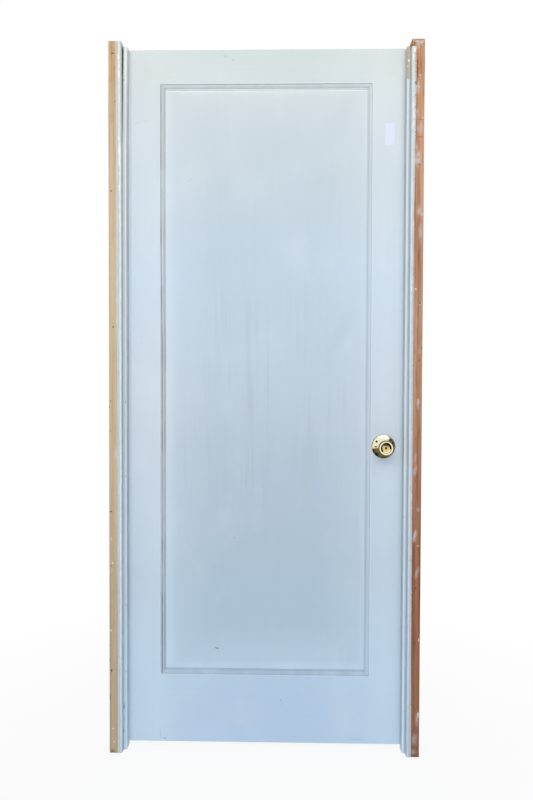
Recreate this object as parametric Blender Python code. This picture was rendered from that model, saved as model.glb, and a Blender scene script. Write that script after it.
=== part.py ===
"""Interior door with one flat panel, hung between two jamb legs.

Metres, +Z up. +X runs from the hinge leg to the strike leg, and the door swings away to +Y.
The origin is the centre of the hinge leg's foot.
"""

import math

import bmesh
import bpy
from mathutils import Matrix

# Running fits and gaps
FIT_GAP = 0.0003
HINGE_GAP = 0.005
LATCH_GAP = 0.005
STOP_GAP = 0.0005
FLOOR_GAP = 0.010

# Door
DOOR_WIDTH = 0.813
DOOR_HEIGHT = 2.032
DOOR_THICKNESS = 0.035
STILE_FACE = 0.098
TOP_RAIL_FACE = 0.098
BOTTOM_RAIL_FACE = 0.202
LATCH_EDGE_BEVEL = math.radians(3)

# Moulded edge round the panel
QUIRK_DEPTH = 0.0016
QUIRK_WIDTH = 0.0016
OVOLO_WIDTH = 0.0098
OVOLO_DEPTH = 0.0070
OVOLO_STEPS = 8
FILLET_WIDTH = 0.0026

# Panel
PANEL_THICKNESS = 0.012
PANEL_TONGUE = 0.010
GROOVE_DEPTH = 0.012

# Jamb legs and stops
LEG_THICKNESS = 0.036
LEG_ABOVE_DOOR = 0.003
LEG_EDGE_EASE = 0.0008
STOP_SETBACK = 0.021
STOP_WIDTH = 0.0345
STOP_THICKNESS = 0.010
STOP_EDGE_RADIUS = 0.0025
STOP_EDGE_STEPS = 5
HINGE_STOP_BELOW_TOP = 0.007
STRIKE_STOP_BELOW_TOP = 0.012
SPRUNG_LENGTH = 0.290
SPRUNG_OFFSET = 0.0030
SPRUNG_STEPS = 8

# Butt hinges
LEAF_HEIGHT = 0.089
LEAF_WIDTH = 0.038
LEAF_THICKNESS = 0.0022
PIN_PROJECTION = 0.008
KNUCKLE_COUNT = 5
NOTCH_CLEARANCE = 0.0006
CURL_SEGMENTS = 20
PIN_HEAD_HEIGHT = 0.0035
TOP_HINGE_DOWN = 0.178
BOTTOM_HINGE_UP = 0.279

# Latch
LATCH_ABOVE_DOOR_BOTTOM = 0.881
BACKSET = 0.060
FACEPLATE_HEIGHT = 0.057
FACEPLATE_WIDTH = 0.025
FACEPLATE_THICKNESS = 0.0024
HOUSING_RADIUS = 0.0115
HOUSING_PAST_SPINDLE = 0.013
BOLT_WIDTH = 0.013
BOLT_HEIGHT = 0.015
BOLT_LENGTH = 0.026
BOLT_BEVEL = 0.009
BOLT_TIP = 0.0025
CROSS_BORE_RADIUS = 0.027
HUB_RADIUS = 0.008
HUB_LENGTH = 0.022

# Strike plate
STRIKE_HEIGHT = 0.057
STRIKE_FRONT = 0.016
STRIKE_THICKNESS = 0.0016
STRIKE_HOLE_WIDTH = 0.018
STRIKE_HOLE_HEIGHT = 0.025
STRIKE_POCKET_DEPTH = 0.016
LIP_HEIGHT = 0.026
LIP_RADIUS = 0.007
LIP_ANGLE = math.radians(50)
LIP_STEPS = 5

# Knobs and roses
ROSE_RADIUS = 0.034
ROSE_HEIGHT = 0.009
ROSE_RIM = 0.0016
ROSE_WALL = 0.0015
ROSE_STEPS = 8
KNOB_PROJECTION = 0.062
KNOB_RADIUS = 0.0226
KNOB_RIM_WIDTH = 0.009
KNOB_INSET = 0.003
NECK_RADIUS = 0.0095
NECK_LENGTH = 0.018
FLARE_STEPS = 8
RIM_STEPS = 6
FACE_LIP_OUTER = 0.0190
FACE_LIP_INNER = 0.0155
FACE_LIP_DROP = 0.0002
FACE_DISC_RADIUS = 0.0118
FACE_DISC_SUNK = 0.0030
FACE_DISC_CROWN = 0.0006
RELEASE_HOLE_RADIUS = 0.0025
RELEASE_HOLE_DEPTH = 0.005
BUTTON_RADIUS = 0.0042
BUTTON_PROUD = 0.004
SPINDLE_SIZE = 0.008
SPINDLE_IN_KNOB = 0.016
TURNED_SEGMENTS = 40

# Worked out from the sizes above
CUT_PAST = 0.005
STICKING_WIDTH = QUIRK_WIDTH + OVOLO_WIDTH + FILLET_WIDTH
GROOVE_HALF = PANEL_THICKNESS / 2 + FIT_GAP
LEG_DEPTH = STOP_SETBACK + STOP_WIDTH + STOP_GAP + DOOR_THICKNESS
LEG_HEIGHT = FLOOR_GAP + DOOR_HEIGHT + LEG_ABOVE_DOOR
FRONT_OF_LEG = -LEG_DEPTH / 2
BACK_OF_LEG = LEG_DEPTH / 2
DOOR_BACK = BACK_OF_LEG
DOOR_FRONT = DOOR_BACK - DOOR_THICKNESS
DOOR_MIDDLE = DOOR_BACK - DOOR_THICKNESS / 2
HINGE_LEG_FACE = LEG_THICKNESS / 2
DOOR_LEFT = HINGE_LEG_FACE + HINGE_GAP
DOOR_RIGHT = DOOR_LEFT + DOOR_WIDTH
STRIKE_LEG_FACE = DOOR_RIGHT + LATCH_GAP
DOOR_BOTTOM = FLOOR_GAP
DOOR_TOP = DOOR_BOTTOM + DOOR_HEIGHT
RAIL_LEFT = DOOR_LEFT + STILE_FACE
RAIL_RIGHT = DOOR_RIGHT - STILE_FACE
TOP_RAIL_EDGE = DOOR_TOP - TOP_RAIL_FACE
BOTTOM_RAIL_EDGE = DOOR_BOTTOM + BOTTOM_RAIL_FACE
HINGE_AXIS_X = HINGE_LEG_FACE + HINGE_GAP / 2
HINGE_AXIS_Y = DOOR_BACK + PIN_PROJECTION
BARREL_BORE = HINGE_GAP / 2
BARREL_RADIUS = BARREL_BORE + LEAF_THICKNESS
PIN_RADIUS = BARREL_BORE * math.cos(math.pi / CURL_SEGMENTS) - FIT_GAP
LATCH_HEIGHT = DOOR_BOTTOM + LATCH_ABOVE_DOOR_BOTTOM
SPINDLE_X = DOOR_RIGHT - BACKSET
EDGE_MIDDLE_X = DOOR_RIGHT - DOOR_THICKNESS / 2 * math.tan(LATCH_EDGE_BEVEL)
HOUSING_FRONT_X = EDGE_MIDDLE_X - FACEPLATE_THICKNESS - HOUSING_RADIUS * math.tan(LATCH_EDGE_BEVEL) - FIT_GAP
HINGE_HEIGHTS = {
    "top": DOOR_TOP - TOP_HINGE_DOWN - LEAF_HEIGHT / 2,
    "middle": DOOR_BOTTOM + (BOTTOM_HINGE_UP + DOOR_HEIGHT - TOP_HINGE_DOWN) / 2,
    "bottom": DOOR_BOTTOM + BOTTOM_HINGE_UP + LEAF_HEIGHT / 2,
}

# Colours
DOOR_PAINT = (0.80, 0.87, 0.90)
RAW_PINE = (0.72, 0.60, 0.44)
RAW_FIR = (0.60, 0.42, 0.32)
PAINTED_STOP = (0.78, 0.85, 0.88)
BRASS = (0.83, 0.62, 0.27)
PLATED_STEEL = (0.62, 0.58, 0.50)
STEEL = (0.55, 0.55, 0.56)


def clear_scene():
    for old in list(bpy.data.objects):
        bpy.data.objects.remove(old, do_unlink=True)


def finish(name, colour, roughness, metallic=0.0):
    material = bpy.data.materials.new(name)
    material.use_nodes = True
    shader = material.node_tree.nodes["Principled BSDF"]
    shader.inputs["Base Color"].default_value = (*colour, 1.0)
    shader.inputs["Roughness"].default_value = roughness
    shader.inputs["Metallic"].default_value = metallic
    return material


def new_object(name, mesh, colour=None, roughness=0.5, metallic=0.0):
    """A part where a colour is given, or else a hidden cutter."""
    obj = bpy.data.objects.new(name, mesh)
    bpy.context.scene.collection.objects.link(obj)
    if colour is None:
        obj.hide_render = True
        obj.display_type = "WIRE"
    else:
        mesh.materials.append(finish(name, colour, roughness, metallic))
    return obj


def mesh_from(bm, name):
    bmesh.ops.recalc_face_normals(bm, faces=bm.faces)
    mesh = bpy.data.meshes.new(name)
    bm.to_mesh(mesh)
    bm.free()
    return mesh


def prism(name, outline, along, low, high):
    """A flat outline pushed along one axis. The outline holds the other two axes in X, Y, Z order."""
    place = {
        "X": lambda u, v: (low, u, v),
        "Y": lambda u, v: (u, low, v),
        "Z": lambda u, v: (u, v, low),
    }[along]
    push = {"X": (high - low, 0, 0), "Y": (0, high - low, 0), "Z": (0, 0, high - low)}[along]
    bm = bmesh.new()
    base = bm.faces.new([bm.verts.new(place(u, v)) for u, v in outline])
    top = bmesh.ops.extrude_face_region(bm, geom=[base])
    moved = [item for item in top["geom"] if isinstance(item, bmesh.types.BMVert)]
    bmesh.ops.translate(bm, verts=moved, vec=push)
    return mesh_from(bm, name)


def block(name, low, high):
    """A box between two opposite corners."""
    outline = [(low[0], low[1]), (high[0], low[1]), (high[0], high[1]), (low[0], high[1])]
    return prism(name, outline, "Z", low[2], high[2])


def turned(name, profile, closed=False, segments=TURNED_SEGMENTS):
    """A profile of (radius, height) points turned round Z. A closed profile makes a ring."""
    bm = bmesh.new()
    rings = []
    for radius, height in profile:
        if radius < FIT_GAP / 10:
            rings.append([bm.verts.new((0, 0, height))])
            continue
        turns = [2 * math.pi * step / segments for step in range(segments)]
        rings.append([bm.verts.new((radius * math.cos(a), radius * math.sin(a), height)) for a in turns])
    pairs = list(zip(rings, rings[1:]))
    if closed:
        pairs.append((rings[-1], rings[0]))
    for first, second in pairs:
        for step in range(segments):
            after = (step + 1) % segments
            corners = [first[step % len(first)], first[after % len(first)]]
            corners += [second[after % len(second)], second[step % len(second)]]
            corners = list(dict.fromkeys(corners))
            if len(corners) > 2:
                bm.faces.new(corners)
    mesh = mesh_from(bm, name)
    mesh.shade_smooth()
    mesh.set_sharp_from_angle(angle=math.radians(35))
    return mesh


def rod(name, radius, low, high, segments=TURNED_SEGMENTS):
    return turned(name, [(0, low), (radius, low), (radius, high), (0, high)], segments=segments)


def lay_along_x(mesh):
    mesh.transform(Matrix.Rotation(math.radians(90), 4, "Y"))


def point_forward(mesh):
    """Turns a shape that was made round Z so that it stands out towards -Y."""
    mesh.transform(Matrix.Rotation(math.radians(90), 4, "X"))


def point_back(mesh):
    """Turns a shape that was made round Z so that it stands out towards +Y."""
    mesh.transform(Matrix.Rotation(math.radians(-90), 4, "X"))


def cut(target, cutter):
    boolean = target.modifiers.new(cutter.name, "BOOLEAN")
    boolean.operation = "DIFFERENCE"
    boolean.solver = "EXACT"
    boolean.object = cutter


def offset_outline(points, distance):
    """A closed outline, listed anticlockwise, grown outwards by one distance all round."""
    grown = []
    count = len(points)
    for index in range(count):
        before = points[index - 1]
        here = points[index]
        after = points[(index + 1) % count]
        sides = []
        for start, end in ((before, here), (here, after)):
            length = math.dist(start, end)
            sides.append(((end[1] - start[1]) / length, (start[0] - end[0]) / length))
        across = 1 + sides[0][0] * sides[1][0] + sides[0][1] * sides[1][1]
        shift_x = (sides[0][0] + sides[1][0]) * distance / across
        shift_y = (sides[0][1] + sides[1][1]) * distance / across
        grown.append((here[0] + shift_x, here[1] + shift_y))
    return grown


def sticking_points():
    """The moulded edge from the face of a stile to its panel groove, as (in from the face, below it)."""
    points = [(0.0, 0.0), (0.0, QUIRK_DEPTH), (QUIRK_WIDTH, QUIRK_DEPTH)]
    for step in range(1, OVOLO_STEPS + 1):
        turn = math.radians(80) * step / OVOLO_STEPS
        share = math.sin(turn) / math.sin(math.radians(80))
        drop = (1 - math.cos(turn)) / (1 - math.cos(math.radians(80)))
        points.append((QUIRK_WIDTH + OVOLO_WIDTH * share, QUIRK_DEPTH + OVOLO_DEPTH * drop))
    points.append((STICKING_WIDTH, QUIRK_DEPTH + OVOLO_DEPTH))
    points.append((STICKING_WIDTH, DOOR_THICKNESS / 2 - GROOVE_HALF))
    points.append((STICKING_WIDTH - GROOVE_DEPTH, DOOR_THICKNESS / 2 - GROOVE_HALF))
    return points


def framed_outline(outer_front, outer_back, face_line, inward):
    """Cross-section of a stile or rail: outer edge, both moulded edges and the groove.

    Points are (across, Y). inward is +1 where the panel lies at larger values, and -1 where it lies
    at smaller ones.
    """
    moulded = sticking_points()
    front = [(face_line + inward * across, DOOR_FRONT + below) for across, below in moulded]
    back = [(face_line + inward * across, DOOR_BACK - below) for across, below in reversed(moulded)]
    outline = [(outer_front, DOOR_FRONT), *front, *back, (outer_back, DOOR_BACK)]
    if inward < 0:
        outline.reverse()
    return outline


def hinge_stile_outline():
    return framed_outline(DOOR_LEFT, DOOR_LEFT, RAIL_LEFT, 1)


def latch_stile_outline():
    front_edge = DOOR_RIGHT - DOOR_THICKNESS * math.tan(LATCH_EDGE_BEVEL)
    return framed_outline(front_edge, DOOR_RIGHT, RAIL_RIGHT, -1)


def make_stiles():
    stiles = {}
    for name, outline in (("hinge_stile", hinge_stile_outline()), ("latch_stile", latch_stile_outline())):
        mesh = prism(name, outline, "Z", DOOR_BOTTOM, DOOR_TOP)
        stiles[name] = new_object(name, mesh, DOOR_PAINT)
    return stiles


def make_rails():
    """Rails run from groove to groove, and their ends are coped over the moulded edges of the stiles."""
    copes = []
    for name, outline in (("hinge_cope", hinge_stile_outline()), ("latch_cope", latch_stile_outline())):
        grown = offset_outline(outline, FIT_GAP)
        mesh = prism(name, grown, "Z", DOOR_BOTTOM - CUT_PAST, DOOR_TOP + CUT_PAST)
        copes.append(new_object(name, mesh))
    tenon_left = RAIL_LEFT + STICKING_WIDTH - GROOVE_DEPTH + FIT_GAP
    tenon_right = RAIL_RIGHT - STICKING_WIDTH + GROOVE_DEPTH - FIT_GAP
    shapes = {
        "top_rail": framed_outline(DOOR_TOP, DOOR_TOP, TOP_RAIL_EDGE, -1),
        "bottom_rail": framed_outline(DOOR_BOTTOM, DOOR_BOTTOM, BOTTOM_RAIL_EDGE, 1),
    }
    for name, outline in shapes.items():
        upright = [(depth, height) for height, depth in outline]
        rail = new_object(name, prism(name, upright, "X", tenon_left, tenon_right), DOOR_PAINT)
        for cope in copes:
            cut(rail, cope)


def make_panel():
    reach = PANEL_TONGUE - STICKING_WIDTH
    low = (RAIL_LEFT - reach, DOOR_MIDDLE - PANEL_THICKNESS / 2, BOTTOM_RAIL_EDGE - reach)
    high = (RAIL_RIGHT + reach, DOOR_MIDDLE + PANEL_THICKNESS / 2, TOP_RAIL_EDGE + reach)
    new_object("panel", block("panel", low, high), DOOR_PAINT)


def make_legs():
    legs = {}
    strike_far_face = STRIKE_LEG_FACE + LEG_THICKNESS
    spans = {
        "hinge_jamb_leg": (-HINGE_LEG_FACE, HINGE_LEG_FACE, RAW_PINE),
        "strike_jamb_leg": (STRIKE_LEG_FACE, strike_far_face, RAW_FIR),
    }
    for name, (left, right, colour) in spans.items():
        mesh = block(name, (left, FRONT_OF_LEG, 0), (right, BACK_OF_LEG, LEG_HEIGHT))
        leg = new_object(name, mesh, colour, 0.8)
        ease = leg.modifiers.new("eased_edges", "BEVEL")
        ease.width = LEG_EDGE_EASE
        ease.segments = 1
        ease.limit_method = "ANGLE"
        legs[name] = leg
    return legs


def stop_outline(wall, inward):
    """Plan of a stop against the leg face at wall, with its two free edges rounded."""
    near = wall + inward * FIT_GAP
    far = near + inward * STOP_THICKNESS
    front = FRONT_OF_LEG + STOP_SETBACK
    back = front + STOP_WIDTH
    outline = [(near, front)]
    for step in range(STOP_EDGE_STEPS + 1):
        turn = math.pi / 2 * step / STOP_EDGE_STEPS
        across = far - inward * STOP_EDGE_RADIUS * (1 - math.sin(turn))
        outline.append((across, front + STOP_EDGE_RADIUS * (1 - math.cos(turn))))
    outline += [(far, back), (near, back)]
    return outline


def make_stops():
    """The stop on the hinge side has pulled its nails at the top and springs away from the leg."""
    straight_top = LEG_HEIGHT - STRIKE_STOP_BELOW_TOP
    strike_plan = stop_outline(STRIKE_LEG_FACE, -1)
    new_object("strike_side_stop", prism("strike_side_stop", strike_plan, "Z", 0, straight_top), PAINTED_STOP)

    top = LEG_HEIGHT - HINGE_STOP_BELOW_TOP
    plan = stop_outline(HINGE_LEG_FACE, 1)
    stations = [(0.0, 0.0)]
    for step in range(SPRUNG_STEPS + 1):
        share = step / SPRUNG_STEPS
        stations.append((SPRUNG_OFFSET * share**2, top - SPRUNG_LENGTH * (1 - share)))
    bm = bmesh.new()
    rings = []
    for shift, height in stations:
        rings.append([bm.verts.new((x + shift, y, height)) for x, y in plan])
    bm.faces.new(rings[0])
    bm.faces.new(rings[-1])
    for lower, upper in zip(rings, rings[1:]):
        for index in range(len(plan)):
            after = (index + 1) % len(plan)
            bm.faces.new([lower[index], lower[after], upper[after], upper[index]])
    new_object("hinge_side_stop", mesh_from(bm, "hinge_side_stop"), PAINTED_STOP)


def leaf_outline(side):
    """Plan of a leaf with its edge rolled round the pin. side is -1 on the leg and +1 on the door."""
    slit = BARREL_BORE - FIT_GAP
    outer_end = math.pi + math.acos(slit / BARREL_RADIUS)
    inner_end = math.pi + math.acos(slit / BARREL_BORE)
    outline = [(-BARREL_RADIUS, -LEAF_WIDTH)]
    for radius, end, backwards in ((BARREL_RADIUS, outer_end, False), (BARREL_BORE, inner_end, True)):
        sweep = 3 * math.pi - end
        steps = [step / CURL_SEGMENTS for step in range(CURL_SEGMENTS + 1)]
        arc = [math.pi - sweep * share for share in (reversed(steps) if backwards else steps)]
        outline += [(radius * math.cos(a), radius * math.sin(a)) for a in arc]
    outline.append((-BARREL_BORE, -LEAF_WIDTH))
    return [(HINGE_AXIS_X - side * x, HINGE_AXIS_Y + y) for x, y in outline]


def knuckle_spans(middle):
    """The height range of each knuckle, with half a running gap off each end that meets another."""
    base = middle - LEAF_HEIGHT / 2
    pitch = LEAF_HEIGHT / KNUCKLE_COUNT
    return [(base + pitch * number, base + pitch * (number + 1)) for number in range(KNUCKLE_COUNT)]


def make_hinge(place, middle, leg, stile):
    """Two interleaved leaves let into the leg and the stile, and the pin that joins them."""
    base = middle - LEAF_HEIGHT / 2
    top = middle + LEAF_HEIGHT / 2
    for kind, side, holder in (("jamb_leaf", -1, leg), ("door_leaf", 1, stile)):
        name = kind + "_" + place
        mesh = prism(name, leaf_outline(side), "Z", base, top)
        leaf = new_object(name, mesh, BRASS, 0.4, 0.9)
        for number, (low, high) in enumerate(knuckle_spans(middle)):
            belongs = number % 2 == (0 if side < 0 else 1)
            if belongs:
                continue
            reach = BARREL_RADIUS + NOTCH_CLEARANCE
            low_cut = low - (CUT_PAST if number == 0 else FIT_GAP / 2)
            high_cut = high + (CUT_PAST if number == KNUCKLE_COUNT - 1 else FIT_GAP / 2)
            low_corner = (HINGE_AXIS_X - reach, HINGE_AXIS_Y - reach, low_cut)
            high_corner = (HINGE_AXIS_X + reach, HINGE_AXIS_Y + reach, high_cut)
            notch_name = f"{name}_notch_{number}"
            cut(leaf, new_object(notch_name, block(notch_name, low_corner, high_corner)))

        outer = HINGE_AXIS_X + side * (BARREL_RADIUS + FIT_GAP)
        inner = HINGE_AXIS_X
        mortise_name = name + "_mortise"
        mortise = block(
            mortise_name,
            (min(outer, inner), HINGE_AXIS_Y - LEAF_WIDTH - FIT_GAP, base - FIT_GAP),
            (max(outer, inner), DOOR_BACK + CUT_PAST, top + FIT_GAP),
        )
        cut(holder, new_object(mortise_name, mortise))

    head = BARREL_RADIUS - FIT_GAP
    half_head = PIN_HEAD_HEIGHT / 2
    seat = top + FIT_GAP
    profile = [(0, base), (PIN_RADIUS, base), (PIN_RADIUS, seat), (head, seat)]
    profile += [(head, seat + half_head), (head * 0.75, seat + half_head * 1.6), (0, seat + PIN_HEAD_HEIGHT)]
    name = "hinge_pin_" + place
    pin = new_object(name, turned(name, profile, segments=CURL_SEGMENTS), BRASS, 0.4, 0.9)
    pin.location = (HINGE_AXIS_X, HINGE_AXIS_Y, 0)


def make_latch(latch_stile):
    """Faceplate let into the bevelled edge, round housing, sliding bolt and the hub on the spindle."""
    along_edge = Matrix.Translation((EDGE_MIDDLE_X, DOOR_MIDDLE, LATCH_HEIGHT))
    along_edge = along_edge @ Matrix.Rotation(-LATCH_EDGE_BEVEL, 4, "Z")
    half_width = FACEPLATE_WIDTH / 2
    half_height = FACEPLATE_HEIGHT / 2
    plate = new_object(
        "latch_faceplate",
        block("latch_faceplate", (-FACEPLATE_THICKNESS, -half_width, -half_height), (0, half_width, half_height)),
        BRASS,
        0.35,
        0.9,
    )
    plate.matrix_world = along_edge
    mortise = new_object(
        "faceplate_mortise",
        block(
            "faceplate_mortise",
            (-FACEPLATE_THICKNESS - FIT_GAP, -half_width - FIT_GAP, -half_height - FIT_GAP),
            (CUT_PAST, half_width + FIT_GAP, half_height + FIT_GAP),
        ),
    )
    mortise.matrix_world = along_edge
    cut(latch_stile, mortise)

    bore = rod("latch_bore", HOUSING_RADIUS + FIT_GAP, -HOUSING_PAST_SPINDLE, BACKSET + CUT_PAST)
    lay_along_x(bore)
    bore_cutter = new_object("latch_bore", bore)
    bore_cutter.location = (SPINDLE_X, DOOR_MIDDLE, LATCH_HEIGHT)
    cut(latch_stile, bore_cutter)

    cross_bore = rod("cross_bore", CROSS_BORE_RADIUS, -DOOR_THICKNESS, DOOR_THICKNESS)
    point_back(cross_bore)
    cross_cutter = new_object("cross_bore", cross_bore)
    cross_cutter.location = (SPINDLE_X, DOOR_MIDDLE, LATCH_HEIGHT)
    cut(latch_stile, cross_cutter)

    housing_mesh = rod("latch_housing", HOUSING_RADIUS, -HOUSING_PAST_SPINDLE, HOUSING_FRONT_X - SPINDLE_X)
    lay_along_x(housing_mesh)
    housing = new_object("latch_housing", housing_mesh, STEEL, 0.4, 0.9)
    housing.location = (SPINDLE_X, DOOR_MIDDLE, LATCH_HEIGHT)

    bolt_tip_x = EDGE_MIDDLE_X - FIT_GAP
    half_bolt = BOLT_WIDTH / 2
    channel_half = half_bolt + FIT_GAP
    channel_high = BOLT_HEIGHT / 2 + FIT_GAP
    channel = new_object(
        "bolt_channel",
        block(
            "bolt_channel",
            (bolt_tip_x - BOLT_LENGTH - FIT_GAP, DOOR_MIDDLE - channel_half, LATCH_HEIGHT - channel_high),
            (DOOR_RIGHT + CUT_PAST, DOOR_MIDDLE + channel_half, LATCH_HEIGHT + channel_high),
        ),
    )
    cut(housing, channel)
    cut(plate, channel)

    hub_bore = rod("hub_bore", HUB_RADIUS + FIT_GAP, -DOOR_THICKNESS, DOOR_THICKNESS)
    point_back(hub_bore)
    hub_cutter = new_object("hub_bore", hub_bore)
    hub_cutter.location = (SPINDLE_X, DOOR_MIDDLE, LATCH_HEIGHT)
    cut(housing, hub_cutter)

    near = DOOR_MIDDLE - half_bolt
    far = DOOR_MIDDLE + half_bolt
    tail = bolt_tip_x - BOLT_LENGTH
    plan = [(tail, near), (bolt_tip_x - BOLT_BEVEL, near), (bolt_tip_x, far - BOLT_TIP), (bolt_tip_x, far), (tail, far)]
    bolt_low = LATCH_HEIGHT - BOLT_HEIGHT / 2
    new_object("latch_bolt", prism("latch_bolt", plan, "Z", bolt_low, bolt_low + BOLT_HEIGHT), BRASS, 0.3, 0.9)


def make_strike(strike_leg):
    """Strike plate with a bent lip, let into the leg over the pocket for the bolt."""
    face = STRIKE_LEG_FACE
    front = DOOR_MIDDLE - STRIKE_FRONT
    bend_y = BACK_OF_LEG + FIT_GAP
    bend_x = face + LIP_RADIUS
    turns = [LIP_ANGLE * step / LIP_STEPS for step in range(LIP_STEPS + 1)]
    visible = [(bend_x - LIP_RADIUS * math.cos(a), bend_y + LIP_RADIUS * math.sin(a)) for a in turns]
    inside = LIP_RADIUS - STRIKE_THICKNESS
    hidden = [(bend_x - inside * math.cos(a), bend_y + inside * math.sin(a)) for a in reversed(turns)]
    plan = [(face, front), *visible, *hidden, (face + STRIKE_THICKNESS, front)]
    half = STRIKE_HEIGHT / 2
    plate_mesh = prism("strike_plate", plan, "Z", LATCH_HEIGHT - half, LATCH_HEIGHT + half)
    plate = new_object("strike_plate", plate_mesh, BRASS, 0.4, 0.9)
    for name, low, high in (
        ("lip_trim_low", -half - CUT_PAST, -LIP_HEIGHT / 2),
        ("lip_trim_high", LIP_HEIGHT / 2, half + CUT_PAST),
    ):
        low_corner = (face - CUT_PAST, BACK_OF_LEG - STRIKE_THICKNESS, LATCH_HEIGHT + low)
        high_corner = (face + 2 * LIP_RADIUS, BACK_OF_LEG + 2 * LIP_RADIUS, LATCH_HEIGHT + high)
        cut(plate, new_object(name, block(name, low_corner, high_corner)))

    half_hole = STRIKE_HOLE_WIDTH / 2
    half_hole_height = STRIKE_HOLE_HEIGHT / 2
    hole_low = (face - CUT_PAST, DOOR_MIDDLE - half_hole, LATCH_HEIGHT - half_hole_height)
    hole_high = (face + STRIKE_POCKET_DEPTH, DOOR_MIDDLE + half_hole, LATCH_HEIGHT + half_hole_height)
    hole = new_object("strike_hole", block("strike_hole", hole_low, hole_high))
    cut(plate, hole)
    rebate = block(
        "strike_rebate",
        (face - CUT_PAST, front - FIT_GAP, LATCH_HEIGHT - half - FIT_GAP),
        (face + STRIKE_THICKNESS + FIT_GAP, BACK_OF_LEG + CUT_PAST, LATCH_HEIGHT + half + FIT_GAP),
    )
    cut(strike_leg, new_object("strike_rebate", rebate))
    cut(strike_leg, hole)


def rose_profile():
    """A hollow dome with its rim on the door, and a hole for the knob's neck."""
    base = FIT_GAP
    hole = NECK_RADIUS + FIT_GAP * 1.5
    outer = [(ROSE_RADIUS, base), (ROSE_RADIUS, base + ROSE_RIM)]
    inner = [(ROSE_RADIUS - 2 * ROSE_WALL, base)]
    rise = ROSE_HEIGHT - ROSE_RIM
    for step in range(1, ROSE_STEPS + 1):
        share = step / ROSE_STEPS
        lift = math.sin(share * math.pi / 2)
        outer.append((ROSE_RADIUS + (hole - ROSE_RADIUS) * share, base + ROSE_RIM + rise * lift))
        start = ROSE_RADIUS - 2 * ROSE_WALL
        inner.append((start + (hole - start) * share, base + (ROSE_HEIGHT - ROSE_WALL) * lift))
    return outer + list(reversed(inner))


def knob_profile(centre_hole):
    """Tulip knob: straight neck, flare, rounded rim, and a face dished down to a sunk disc."""
    neck_top = FIT_GAP + ROSE_HEIGHT + NECK_LENGTH - KNOB_INSET - ROSE_HEIGHT / 2
    rim_middle = KNOB_PROJECTION - KNOB_RIM_WIDTH / 2
    profile = [(0, KNOB_INSET), (NECK_RADIUS, KNOB_INSET), (NECK_RADIUS, neck_top)]
    flare = rim_middle - neck_top
    for step in range(1, FLARE_STEPS + 1):
        share = step / FLARE_STEPS
        grow = share**1.5 * (2.2 - 1.2 * share)
        radius = NECK_RADIUS + (KNOB_RADIUS - NECK_RADIUS) * grow
        profile.append((min(radius, KNOB_RADIUS), neck_top + flare * share))
    half_rim = KNOB_RIM_WIDTH / 2
    for step in range(1, RIM_STEPS + 1):
        turn = math.pi / 2 * step / RIM_STEPS
        radius = KNOB_RADIUS - (KNOB_RADIUS - FACE_LIP_OUTER) * (1 - math.cos(turn))
        profile.append((radius, rim_middle + half_rim * math.sin(turn)))
    disc = KNOB_PROJECTION - FACE_DISC_SUNK
    profile += [(FACE_LIP_INNER, KNOB_PROJECTION - FACE_LIP_DROP), (FACE_DISC_RADIUS, disc)]
    profile += [(centre_hole, disc + FACE_DISC_CROWN)]
    profile += [(centre_hole, KNOB_PROJECTION - RELEASE_HOLE_DEPTH), (0, KNOB_PROJECTION - RELEASE_HOLE_DEPTH)]
    return profile


def make_knobs():
    socket_half = SPINDLE_SIZE / 2 + FIT_GAP
    sides = (
        ("front", point_forward, DOOR_FRONT, RELEASE_HOLE_RADIUS, -1),
        ("back", point_back, DOOR_BACK, BUTTON_RADIUS + FIT_GAP, 1),
    )
    for side, turn_round, face, centre_hole, direction in sides:
        rose_mesh = turned(side + "_rose", rose_profile(), closed=True)
        turn_round(rose_mesh)
        rose = new_object(side + "_rose", rose_mesh, BRASS, 0.2, 1.0)
        rose.location = (SPINDLE_X, face, LATCH_HEIGHT)
        knob_mesh = turned(side + "_knob", knob_profile(centre_hole))
        turn_round(knob_mesh)
        knob = new_object(side + "_knob", knob_mesh, BRASS, 0.15, 1.0)
        knob.location = (SPINDLE_X, face, LATCH_HEIGHT)
        ends = sorted((face - direction * CUT_PAST, face + direction * (SPINDLE_IN_KNOB + FIT_GAP)))
        socket_name = side + "_socket"
        socket = block(
            socket_name,
            (SPINDLE_X - socket_half, ends[0], LATCH_HEIGHT - socket_half),
            (SPINDLE_X + socket_half, ends[1], LATCH_HEIGHT + socket_half),
        )
        cut(knob, new_object(socket_name, socket))

    half = SPINDLE_SIZE / 2
    spindle = block(
        "spindle",
        (SPINDLE_X - half, DOOR_FRONT - SPINDLE_IN_KNOB, LATCH_HEIGHT - half),
        (SPINDLE_X + half, DOOR_BACK + SPINDLE_IN_KNOB, LATCH_HEIGHT + half),
    )
    new_object("spindle", spindle, STEEL, 0.4, 0.9)

    hub_mesh = rod("latch_hub", HUB_RADIUS, -HUB_LENGTH / 2, HUB_LENGTH / 2)
    point_back(hub_mesh)
    hub = new_object("latch_hub", hub_mesh, STEEL, 0.4, 0.9)
    hub.location = (SPINDLE_X, DOOR_MIDDLE, LATCH_HEIGHT)
    square = block(
        "hub_square",
        (SPINDLE_X - socket_half, DOOR_FRONT, LATCH_HEIGHT - socket_half),
        (SPINDLE_X + socket_half, DOOR_BACK, LATCH_HEIGHT + socket_half),
    )
    cut(hub, new_object("hub_square", square))

    button_base = KNOB_PROJECTION - RELEASE_HOLE_DEPTH + FIT_GAP
    button_mesh = rod("privacy_button", BUTTON_RADIUS, button_base, KNOB_PROJECTION + BUTTON_PROUD)
    point_back(button_mesh)
    button = new_object("privacy_button", button_mesh, BRASS, 0.2, 1.0)
    button.location = (SPINDLE_X, DOOR_BACK, LATCH_HEIGHT)


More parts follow.
